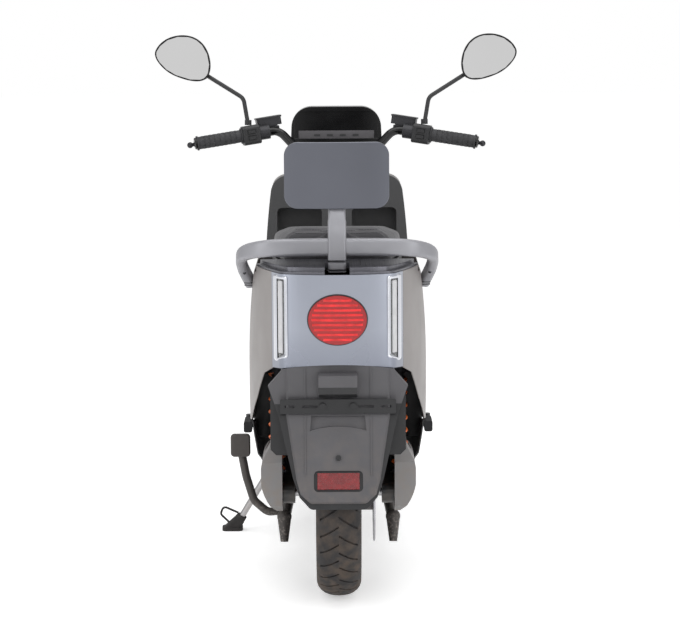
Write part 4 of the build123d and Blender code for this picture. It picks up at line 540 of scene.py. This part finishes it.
def apply_modifiers(piece):
    """Keep what the modifiers make as the piece's own mesh."""
    depsgraph = bpy.context.evaluated_depsgraph_get()
    made = bpy.data.meshes.new_from_object(piece.evaluated_get(depsgraph))
    piece.modifiers.clear()
    old = piece.data
    piece.data = made
    bpy.data.meshes.remove(old)


def relaxed(piece, rounds, factor=0.5):
    """Ease a remeshed surface."""
    bm = bmesh.new()
    bm.from_mesh(piece.data)
    for _ in range(rounds):
        bmesh.ops.smooth_vert(bm, verts=bm.verts, factor=factor,
                              use_axis_x=True, use_axis_y=True, use_axis_z=True)
    bm.to_mesh(piece.data)
    bm.free()
    piece.data.shade_smooth()


def pad_piece(name, node, finish, body, voxel, pressure, cap, shrink, pinned):
    """A padded cover that takes the place of a plain cushion."""
    bm = merged_copy(node)
    piece = finished(name, bm, finish, body, 180)
    swollen(piece, voxel, pressure, cap, shrink, pinned)
    relaxed(piece, 3)
    piece.data.materials.clear()
    piece.data.materials.append(finish.material)
    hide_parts(node)
    return piece


def stitches(name, places, body, length, radius=0.0006):
    """Short raised threads, each one a small rounded bar from one point towards the next."""
    bm = bmesh.new()
    for start, end, outward in places:
        made = bmesh.ops.create_cone(bm, cap_ends=True, segments=6, radius1=radius, radius2=radius,
                                     depth=length)["verts"]
        aim(bm, made, (start + end) / 2 + outward * radius * 0.4, end - start)
    return finished(name, bm, stitch_thread, body, 60)


seat_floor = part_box("seat_cushion")[0].z + 0.012
seat = pad_piece("seat_cover", "seat_cushion", leather, "seat", voxel=0.0056, pressure=3.6, cap=0.008,
                 shrink=0.003, pinned=lambda p: p.z < seat_floor)
pad_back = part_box("backrest_pad")[0].y + 0.004
pad_piece("backrest_cover", "backrest_pad", pad_leather, "frame", voxel=0.0045, pressure=4.0, cap=0.008,
          shrink=0.002, pinned=lambda p: p.y < pad_back)


def settled_seat(piece, floor):
    """Lower the saddle towards its nose, away from the passenger's crest."""
    crest_y, crest, fall, band_width = -0.55, 0.830, 0.094, 0.02
    step_y, step, step_length = -0.255, 0.006, 0.05
    tops = {}
    for v in piece.data.vertices:
        band = round(v.co.y / band_width)
        tops[band] = max(tops.get(band, 0.0), v.co.z)
    for v in piece.data.vertices:
        top = tops[round(v.co.y / band_width)]
        ease = min(1.0, max(0.0, (v.co.y - step_y) / step_length))
        target = crest - fall * max(0.0, v.co.y - crest_y) - step * ease * ease * (3 - 2 * ease)
        if v.co.z > floor and top > floor:
            v.co.z = floor + (v.co.z - floor) * (target - floor) / (top - floor)


settled_seat(seat, seat_floor - 0.008)
relaxed(seat, 2)
seat_crest = max(v.co.z for v in seat.data.vertices)


# ---------------------------------------------------------------- moulded and metal solids
skins = {
    "side_panels": (satin_paint, 0.0014),
    "front_apron": (satin_paint, 0.0014),
    "tail_panel": (tail_metal, 0.0008),
    "tail_deck": (ledge_metal, 0.0008),
    "seat_box_front": (trim_plastic, 0.0014),
    "lower_trims": (trim_plastic, 0.0012),
    "backrest_shell": (shell_metal, 0.0012),
    "leg_shield": (shield_plastic, 0.0014),
    "floor_panels": (trim_plastic, 0.0012),
    "rear_mudguard": (guard_plastic, 0.0009),
    "plate_bracket": (satin_black, 0.0007),
    "swingarm_covers": (cover_grey, 0.0014),
    "display_housing": (gloss_black, 0.0012),
    "switch_housings": (satin_black, 0.0009),
    "master_cylinders": (alloy_black, 0.0008),
    "front_mudguard": (satin_paint, 0.001),
    "mirror_head_right": (gloss_black, 0.001),
    "mirror_head_left": (gloss_black, 0.001),
    "mirror_stem_right": (satin_black, 0.0006),
    "mirror_stem_left": (satin_black, 0.0006),
    "headlamp": (clear_plastic, 0.001),
    "storage_bucket": (trim_plastic, 0.001),
    "seat_base": (satin_black, 0.001),
    "reflector": (reflex_red, 0.0006),
    "centre_stand": (cast_stand, 0.0009),
    "swingarm": (frame_paint, 0.001),
    "fork_sliders": (alloy_black, 0.0009),
    "side_stand": (zinc, 0.0009),
    "handlebar": (gloss_black, 0.0006),
    "brake_lever_right": (alloy_black, 0.0006),
    "brake_lever_left": (alloy_black, 0.0006),
    "rear_rim": (motor_grey, 0.001),
    "front_rim": (alloy_black, 0.001),
    "peg_right": (black_rubber("peg_rubber", tone(44, 44, 46)), 0.0008),
    "peg_left": (black_rubber("peg_rubber_left", tone(44, 44, 46)), 0.0008),
    "main_frame": (frame_paint, 0.0),
    "side_stand_shoe": (black_rubber("shoe_rubber", tone(50, 48, 47)), 0.0),
}
skin_of = {node: skinned(node, finish, ease) for node, (finish, ease) in skins.items()}


def second_finish(piece, finish, chosen):
    """Give the faces that a rule picks another finish."""
    piece.data.materials.append(finish.material)
    for face in piece.data.polygons:
        if chosen(face.center, face.normal):
            face.material_index = 1


reflector_low, reflector_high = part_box("reflector")
bracket_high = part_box("plate_bracket")[1]


def guard_black_and_painted_shade(place, normal):
    """Faces given satin black: the splash flaps and the knob, and painted shade: the shadow under the lamp
    hood, the reflector's recess and the inside that faces forward.
    """
    off_middle = abs(place.x)
    flap = off_middle > 0.09 and place.y > bracket_high.y + 0.030 and place.z < 0.503
    # painted shadow: the lamp hood's underside is blackened
    hood_underside_shadow_painted = off_middle < 0.043 and bracket_high.z < place.z < 0.52 and normal.z < -0.2
    # painted shade: the recess round the reflector is blackened
    reflector_recess_shade_painted = (off_middle < reflector_high.x + 0.0085
                        and reflector_low.z - 0.0075 < place.z < reflector_high.z + 0.0075)
    knob = off_middle < 0.0066 and 0.345 < place.z < 0.366
    # the forward-facing inside is blackened too, as painted shade
    return flap or hood_underside_shadow_painted or reflector_recess_shade_painted or knob or normal.y > 0.3


# satin black on the rear mudguard: painted shade under the lamp hood, in the reflector's recess and on the
# inside, beside the black flaps and knob
second_finish(skin_of["rear_mudguard"], satin_black, guard_black_and_painted_shade)
# the turn signals stand beyond the lamp itself
second_finish(skin_of["headlamp"], amber_plastic, lambda place, normal: abs(place.x) > 0.08)


def well_liner_painted_shade(side, word):
    """A dark moulded wall inside the wheel well, between the frame rail and the side panel; its black is
    also painted shade, standing in for the shadowed inside of the well.
    """
    bm = bmesh.new()
    inner_x, outer_x = 0.142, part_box("side_panels")[1].x - 0.009
    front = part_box("swingarm_covers")[1].y + 0.016
    thickness, height, middle_z = 0.0025, 0.21, 0.425
    plate(bm, (outer_x - inner_x, thickness, height), (side * 0.5 * (inner_x + outer_x), front, middle_z),
          ease=0.0008)
    return finished("wheel_well_liner_" + word, bm, satin_black, "frame")


for side, word in ((-1, "left"), (1, "right")):
    # each wheel well gets a black wall whose dark colour stands in for the shade inside the well
    well_liner_painted_shade(side, word)
for node, finish in {
    "tail_lamp_lens": red_plastic, "rear_strip_lens": clear_plastic,
    "battery_and_controller": satin_black, "pivot_hardware": zinc, "rear_axle": zinc,
    "shock_rods": bright_chrome, "fork_stanchions": bright_chrome,
    "shock_bodies": alloy_black, "shock_springs": spring_paint, "steering_stem": frame_paint,
    "rear_disc": disc_steel, "front_disc": disc_steel,
    "left_grip": grip_rubber, "throttle_grip": grip_rubber,
    "upper_button_right": satin_black, "upper_button_left": satin_black,
    "lower_button_right": satin_black, "lower_button_left": satin_black,
}.items():
    coloured(node, finish)


# ---------------------------------------------------------------- mirrors
def mirror_glass(side):
    """Silvered glass set in its rim, a touch smaller than the head's back."""
    word = "right" if side > 0 else "left"
    node = "mirror_head_" + word
    bm = merged_copy(node)
    bm.normal_update()
    rim_step, share, lift = 0.0012, 0.985, 0.0009
    back = [f for f in bm.faces if f.normal.y < -0.8]
    level = min(f.calc_center_median().y for f in back)
    face = [f for f in back if f.calc_center_median().y > level + rim_step]
    bmesh.ops.delete(bm, geom=[f for f in bm.faces if f not in set(face)], context="FACES")
    bmesh.ops.dissolve_limit(bm, angle_limit=0.2, verts=bm.verts, edges=bm.edges)
    centre = max(bm.faces, key=lambda f: f.calc_area())
    bmesh.ops.delete(bm, geom=[f for f in bm.faces if f is not centre], context="FACES")
    floor = centre.calc_center_median().y
    middle = sum((v.co for v in bm.verts), Vector()) / len(bm.verts)
    for v in bm.verts:
        v.co = middle + (v.co - middle) * share
        v.co.y = floor - lift
    bmesh.ops.recalc_face_normals(bm, faces=bm.faces)
    if sum(f.normal.y * f.calc_area() for f in bm.faces) > 0:
        bmesh.ops.reverse_faces(bm, faces=bm.faces)
    return finished("mirror_glass_" + word, bm, silvered, node, 180)


for side in (-1, 1):
    mirror_glass(side)


# ---------------------------------------------------------------- surfaces to set things on
def tree_of(piece):
    """A search tree of a piece's final surface."""
    seen = piece.evaluated_get(bpy.context.evaluated_depsgraph_get())
    return BVHTree.FromPolygons([v.co[:] for v in seen.data.vertices],
                                [p.vertices[:] for p in seen.data.polygons])


def from_behind(tree, x, z):
    """Where a line of sight along the scooter from behind meets a surface."""
    return tree.ray_cast(Vector((x, -2.0, z)), Vector((0, 1, 0)))[0]


# ---------------------------------------------------------------- grab rail and backrest post
def smooth_path(points, per_run):
    """A smooth line through given points, as (place, heading) pairs."""
    ends = [2 * points[0] - points[1]] + points + [2 * points[-1] - points[-2]]
    line = []
    for a, b, c, d in zip(ends, ends[1:], ends[2:], ends[3:]):
        for step in range(per_run):
            t = step / per_run
            line.append(0.5 * (2 * b + (c - a) * t + (2 * a - 5 * b + 4 * c - d) * t * t
                               + (3 * b - 3 * c + d - a) * t * t * t))
    line.append(points[-1])
    headings = [(q - p).normalized() for p, q in zip(line, line[1:])]
    return list(zip(line, headings + headings[-1:]))


def rounded_section(deep, tall, corner, steps=5):
    """A rounded rectangle, as (depth, height) pairs round its outline."""
    outline = []
    for turn, (sx, sz) in enumerate(((1, 1), (-1, 1), (-1, -1), (1, -1))):
        for step in range(steps + 1):
            angle = math.pi / 2 * (turn + step / steps)
            outline.append((sx * (deep / 2 - corner) + corner * math.cos(angle),
                            sz * (tall / 2 - corner) + corner * math.sin(angle)))
    return outline


def walled(bm, rings):
    """Join closed rings of corners, each to the next."""
    for near, far in zip(rings, rings[1:]):
        for i, vert in enumerate(near):
            j = (i + 1) % len(near)
            bm.faces.new((vert, near[j], far[j], far[i]))


def swept_band(bm, stations, section, spiral=False):
    """Skin a section along stations of (place, heading, outward, width factor, height factor).

    A spiral keeps its own turn and its open ends; any other band stays upright and is capped.
    """
    rings = []
    for place, heading, outward, wide, high in stations:
        across = (outward - heading * outward.dot(heading)).normalized()
        up = across.cross(heading).normalized()
        if up.z < -0.01 and not spiral:
            up = -up
        rings.append([bm.verts.new(place + across * a * wide + up * b * high) for a, b in section])
    walled(bm, rings)
    if not spiral:
        bm.faces.new(rings[0])
        bm.faces.new(list(reversed(rings[-1])))


def grab_rail():
    """A cast band that sweeps round the tail, with the backrest post joined to its middle."""
    bm = bmesh.new()
    middle_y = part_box("grab_rail")[0].y + 0.0125
    half_width, length = 0.213, 0.180
    half = ((0.0, middle_y, 0.802), (0.100, middle_y + 0.002, 0.801), (0.168, middle_y + 0.022, 0.796),
            (0.209, middle_y + 0.068, 0.780), (half_width, middle_y + 0.120, 0.750),
            (0.197, middle_y + length, 0.704))
    route = [(-x, y, z) for x, y, z in reversed(half[1:])] + list(half)
    stations = []
    for place, heading in smooth_path([Vector(p) for p in route], 10):
        share = min(1.0, abs(place.x) / half_width)
        forward = max(0.0, (place.y - middle_y) / length)
        sideways = math.copysign(min(1.0, forward * 4.0), place.x)
        outward = Vector((sideways, -1.0 + min(1.0, forward * 3.2), 0.0))
        stations.append((place, heading, outward, 1.0, 1.0 - 0.30 * min(1.0, forward * 1.6) * share))
    swept_band(bm, stations, rounded_section(0.023, 0.039, 0.008))
    post = [Vector((0, middle_y - 0.003, 0.748)), Vector((0, middle_y - 0.003, 0.800)),
            Vector((0, middle_y + 0.003, 0.845)), Vector((0, middle_y + 0.022, 0.882)),
            Vector((0, middle_y + 0.034, 0.905))]
    neck_z, neck_share = 0.86, 0.05
    stations = [(place, heading, Vector((1, 0, 0)), 1.0 - neck_share * (place.z > neck_z), 1.0)
                for place, heading in smooth_path(post, 8)]
    swept_band(bm, stations, rounded_section(0.040, 0.026, 0.006))
    bmesh.ops.recalc_face_normals(bm, faces=bm.faces)
    piece = finished("grab_rail_casting", bm, rail_alloy, "frame", 50)
    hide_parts("grab_rail")
    return piece


rail_tree = tree_of(grab_rail())
for side, word in ((-1, "left"), (1, "right")):
    spot = from_behind(rail_tree, side * 0.2085, 0.733)
    if spot:
        screws("grab_rail_screw_" + word, [spot], (side * 0.35, -1, 0.15), alloy_black, "frame",
               0.0042, 0.0016)
    for drop in (0.0, 0.006):
        spot = from_behind(rail_tree, side * 0.199, 0.706 - drop)
        if spot:
            bm = bmesh.new()
            plate(bm, (0.0225, 0.0016, 0.0022), spot, (0, -0.3, 1), 0.0004)
            finished("grab_rail_groove_%s_%d" % (word, int(drop * 1000)), bm, satin_black, "frame")


# ---------------------------------------------------------------- tail lamp and its two light strips
tail_tree = tree_of(skin_of["tail_panel"])
panel_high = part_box("tail_panel")[1]
lamp_low, lamp_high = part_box("tail_lamp_lens")
lamp_middle, lamp_half = 0.5 * (lamp_low.z + lamp_high.z), 0.5 * (lamp_high.z - lamp_low.z)
strip_low, strip_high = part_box("rear_strip_lens")
strip_width = 0.0165


def on_tail(x):
    """The tail panel's rear surface at a distance from the middle, the same at every height."""
    reach = min(abs(x), panel_high.x - 0.001)
    return from_behind(tail_tree, reach, 0.5 * (strip_high.z + panel_high.z)).y


def ring_on_tail(name, outline, levels, finish):
    """A frame laid on the tail panel: a closed outline, pulled in and lifted level by level."""
    bm = bmesh.new()
    rows = []
    for inset, lift in levels:
        rows.append([bm.verts.new((x, on_tail(x) - lift, z)) for x, z in outline(inset)])
    walled(bm, rows)
    bmesh.ops.recalc_face_normals(bm, faces=bm.faces)
    return finished(name, bm, finish, "frame", 35)


def strip_outline(side, inset):
    """Round a light strip: straight sides, rounded top and a foot that points down and outwards."""
    rim = 0.0078
    outer, inner = strip_high.x + rim - inset, strip_high.x - strip_width - rim + inset
    top, low = strip_high.z + 0.004 - inset, strip_low.z - 0.006 + inset
    corner = max(0.0005, 0.006 - inset * 0.6)
    points = []
    for turn, (x, z) in enumerate(((outer - corner, top - corner), (inner + corner, top - corner),
                                   (inner + corner, low + 0.010 + corner), (outer - corner, low + corner))):
        for step in range(5):
            angle = math.pi / 2 * (turn + step / 4)
            points.append((side * (x + corner * math.cos(angle)), z + corner * math.sin(angle)))
    return points


for side, word in ((-1, "left"), (1, "right")):
    ring_on_tail("strip_frame_" + word, lambda inset: strip_outline(side, inset),
                 ((0.0, -0.0004), (0.0010, 0.0022), (0.0042, 0.0026), (0.0078, 0.0002), (0.0088, -0.004)),
                 strip_chrome)
    bm = bmesh.new()
    glow, reach = strip_high.x - strip_width / 2, 0.004
    slope = math.atan2(on_tail(glow + reach) - on_tail(glow - reach), 2 * reach)
    middle_z = 0.5 * (strip_low.z + strip_high.z) + 0.003
    plate(bm, (0.0150, 0.004, strip_high.z - strip_low.z - 0.022),
          (side * glow, on_tail(glow) + 0.0026, middle_z), ease=0.0014, roll=side * slope)
    finished("strip_guide_" + word, bm, light_guide, "frame")


def lamp_ring(inset, steps=56):
    """Round the lamp: an ellipse a little outside its lens."""
    rim = 0.003
    wide, high = lamp_high.x + rim - inset, lamp_half + rim - inset
    return [(wide * math.cos(math.tau * i / steps), lamp_middle + high * math.sin(math.tau * i / steps))
            for i in range(steps)]


ring_on_tail("tail_lamp_bezel", lamp_ring,
             ((0.0, -0.0004), (0.0006, 0.0024), (0.0026, 0.0030), (0.0042, 0.0010), (0.0044, -0.006)),
             satin_black)


def lamp_ribs():
    """Level reflex ribs across the lens, each as long as the ellipse is wide there."""
    bm = bmesh.new()
    lens_tree = tree_of(solids["tail_lamp_lens"])
    rows, count, margin = 5, 14, 0.007
    for i in range(1 - rows, rows):
        z = lamp_middle + i * lamp_half / rows
        reach = lamp_high.x * math.sqrt(1 - (i / rows) ** 2) - margin
        line = [from_behind(lens_tree, reach * (2 * k / count - 1), z) for k in range(count + 1)]
        if all(line):
            stations = [(p, Vector((1, 0, 0)), Vector((0, -1, 0)), 1.0, 1.0) for p in line]
            swept_band(bm, stations, rounded_section(0.0022, 0.0052, 0.0010, 2))
    bmesh.ops.recalc_face_normals(bm, faces=bm.faces)
    return finished("tail_lamp_ribs", bm, lamp_core, "frame", 30)


lamp_ribs()


# ---------------------------------------------------------------- seat stitching
seat_tree = tree_of(seat)
seam_half, stitch, stitch_pitch = 0.112, 0.0042, 0.0062
places = []
for row in (0.0045, 0.0100):
    x = -seam_half
    while x < seam_half:
        start, end = (from_behind(seat_tree, at, seat_crest - row) for at in (x, x + stitch))
        if start and end:
            places.append((start, end, Vector((0, -0.8, 0.6))))
        x += stitch_pitch
stitches("seat_stitching", places, "seat", stitch)


# ---------------------------------------------------------------- handlebar details
def grip_frame(side):
    """A grip's outer end and the way along it towards the middle, from the throttle's joint."""
    throttle = next(j for j in frame["record"]["behaviour"]["joints"] if j["name"] == "throttle_twist")
    end, way = Vector(throttle["pos_m"]), Vector(throttle["axis"])
    return Vector((end.x * side, end.y, end.z)), Vector((-way.x * side, -way.y, -way.z))


def grip_pattern(node, side, body):
    """Crossed spiral ridges round the grip, as moulded into the rubber."""
    end, way = grip_frame(side)
    first = way.orthogonal().normalized()
    second = way.cross(first)
    bm = bmesh.new()
    radius, start, length = 0.0166, 0.014, 0.092
    turns, count, steps = 0.9, 9, 24
    for hand in (-1, 1):
        for k in range(count):
            stations = []
            for step in range(steps + 1):
                t = step / steps
                angle = math.tau * (k / count + hand * turns * t)
                outward = first * math.cos(angle) + second * math.sin(angle)
                around = second * math.cos(angle) - first * math.sin(angle)
                place = end + way * (start + length * t) + outward * radius
                heading = (way * length + around * (hand * math.tau * turns * radius)).normalized()
                stations.append((place, heading, outward, 1.0, 1.0))
            swept_band(bm, stations, rounded_section(0.0011, 0.0019, 0.0005, 1), spiral=True)
    bmesh.ops.recalc_face_normals(bm, faces=bm.faces)
    return finished(node + "_pattern", bm, grip_rubber, body, 60)


grip_pattern("left_grip", -1, "steering")
grip_pattern("throttle_grip", 1, "throttle")


# ---------------------------------------------------------------- display
strip_z, key_pitch, keys = 0.987, 0.034, 4
face = from_behind(tree_of(skin_of["display_housing"]), 0.0, strip_z)
bm = bmesh.new()
plate(bm, (0.200, 0.0030, 0.024), face + Vector((0, -0.0006, 0)), ease=0.0012)
finished("display_switch_strip", bm, strip_grey, "steering")
bm = bmesh.new()
for k in range(keys):
    place = face + Vector(((k - (keys - 1) / 2) * key_pitch, -0.0022, 0.0))
    plate(bm, (0.016, 0.0026, 0.006), place, ease=0.0008)
finished("display_keys", bm, satin_black, "steering")


# ---------------------------------------------------------------- screws in the mouldings
shield_tree = tree_of(skin_of["leg_shield"])
for side, word in ((-1, "left"), (1, "right")):
    spot = from_behind(shield_tree, side * 0.134, 0.862)
    if spot:
        screws("leg_shield_screw_" + word, [spot], (0, -1, 0), satin_black, "frame", 0.0052, 0.0018)


# ---------------------------------------------------------------- moulded tray under the saddle
def body_tray():
    """A dark tray that closes the body under the saddle, out to the inside of the panels."""
    bm = bmesh.new()
    level, thickness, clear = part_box("seat_base")[0].z - 0.006, 0.003, 0.001
    walls = [tree_of(skin_of[node]) for node in ("side_panels", "tail_panel")]
    bucket, bucket_back = tree_of(skin_of["storage_bucket"]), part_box("storage_bucket")[0].y
    rear, front, count, outside = -0.800, -0.153, 40, 0.3
    rows = []
    for k in range(count + 1):
        y = rear + (front - rear) * k / count
        hits = [wall.ray_cast(Vector((0, y, level)), Vector((1, 0, 0)))[0] for wall in walls]
        reach = min((hit.x for hit in hits if hit), default=None)
        edge = bucket.ray_cast(Vector((outside, y, level)), Vector((-1, 0, 0)))[0]
        if reach:
            inner = edge.x + clear / 2 if edge and y > bucket_back + clear else 0.0
            rows.append((y, inner, reach - clear))
    for side in (-1, 1):
        strip = [[bm.verts.new((side * x, y, level)) for x in (inner, outer)] for y, inner, outer in rows]
        for near, far in zip(strip, strip[1:]):
            bm.faces.new((near[0], near[1], far[1], far[0]))
    bmesh.ops.solidify(bm, geom=bm.faces[:], thickness=thickness)
    bmesh.ops.recalc_face_normals(bm, faces=bm.faces)
    return finished("under_seat_tray", bm, trim_plastic, "frame")


body_tray()


# ---------------------------------------------------------------- floor, light and camera
def backdrop_material(name, colour):
    """A pale surface, evenly bright to the eye and in reflections, that keeps the shadows on it."""
    material = bpy.data.materials.new(name)
    material.use_nodes = True
    tree = material.node_tree
    shader = tree.nodes["Principled BSDF"]
    shader.inputs["Base Color"].default_value = colour
    shader.inputs["Roughness"].default_value = 0.9
    shader.inputs["Specular IOR Level"].default_value = 0.1
    glow = tree.nodes.new("ShaderNodeEmission")
    glow.inputs["Color"].default_value = (1, 1, 1, 1)
    path = tree.nodes.new("ShaderNodeLightPath")
    seen = tree.nodes.new("ShaderNodeMath")
    seen.operation = "MAXIMUM"
    tree.links.new(path.outputs["Is Camera Ray"], seen.inputs[0])
    tree.links.new(path.outputs["Is Glossy Ray"], seen.inputs[1])
    share = tree.nodes.new("ShaderNodeMath")
    share.operation = "MULTIPLY"
    share.inputs[1].default_value = 0.45
    tree.links.new(seen.outputs[0], share.inputs[0])
    tree.links.new(share.outputs[0], glow.inputs["Strength"])
    add = tree.nodes.new("ShaderNodeAddShader")
    tree.links.new(shader.outputs[0], add.inputs[0])
    tree.links.new(glow.outputs[0], add.inputs[1])
    tree.links.new(add.outputs[0], tree.nodes["Material Output"].inputs["Surface"])
    return material


bm = bmesh.new()
bmesh.ops.create_grid(bm, x_segments=2, y_segments=2, size=30.0)
floor_mesh = bpy.data.meshes.new("studio_floor")
bm.to_mesh(floor_mesh)
bm.free()
studio_floor = bpy.data.objects.new("studio_floor", floor_mesh)
scene.collection.objects.link(studio_floor)
floor_mesh.materials.append(backdrop_material("studio_floor", (0.9, 0.9, 0.9, 1)))

world = bpy.data.worlds.new("studio")
scene.world = world
world.use_nodes = True
tree = world.node_tree
sky = tree.nodes["Background"]
sky.inputs["Color"].default_value = (1, 1, 1, 1)
path = tree.nodes.new("ShaderNodeLightPath")
clear = tree.nodes.new("ShaderNodeMath")
clear.operation = "MAXIMUM"
tree.links.new(path.outputs["Is Camera Ray"], clear.inputs[0])
tree.links.new(path.outputs["Is Transmission Ray"], clear.inputs[1])
level = tree.nodes.new("ShaderNodeMapRange")
level.inputs["To Min"].default_value = 0.62
level.inputs["To Max"].default_value = 1.0
tree.links.new(clear.outputs[0], level.inputs["Value"])
tree.links.new(level.outputs["Result"], sky.inputs["Strength"])


def soft_box(name, place, target, size, power):
    """A wide lamp that faces a point."""
    lamp = bpy.data.lights.new(name, "AREA")
    lamp.shape, lamp.size, lamp.size_y, lamp.energy = "RECTANGLE", size[0], size[1], power
    holder = bpy.data.objects.new(name, lamp)
    scene.collection.objects.link(holder)
    holder.location = place
    holder.rotation_euler = (Vector(target) - Vector(place)).to_track_quat("-Z", "Y").to_euler()
    return holder


soft_box("overhead", (0.0, -0.6, 3.6), (0, 0, 0.4), (3.2, 3.2), 62)
soft_box("left_wall", (-2.8, -2.4, 1.7), (0, -0.2, 0.6), (1.4, 2.6), 24)
soft_box("right_wall", (2.8, -2.4, 1.7), (0, -0.2, 0.6), (1.4, 2.6), 24)
soft_box("front_fill", (0.0, -4.8, 2.4), (0, -0.4, 0.5), (2.4, 1.4), 16)

camera_data = bpy.data.cameras.new("eye_level")
camera_data.lens, camera_data.sensor_width, camera_data.clip_end = 127.7, 36.0, 100.0
camera = bpy.data.objects.new("eye_level", camera_data)
scene.collection.objects.link(camera)
camera.location = (0.0, -6.013, 1.330)
heading, look_down, roll = -0.061, 7.342, -0.35
camera.rotation_euler = (Matrix.Rotation(math.radians(heading), 4, "Z")
                         @ Matrix.Rotation(math.radians(90.0 - look_down), 4, "X")
                         @ Matrix.Rotation(math.radians(roll), 4, "Z")).to_euler()
scene.camera = camera
scene.view_settings.view_transform = "Standard"
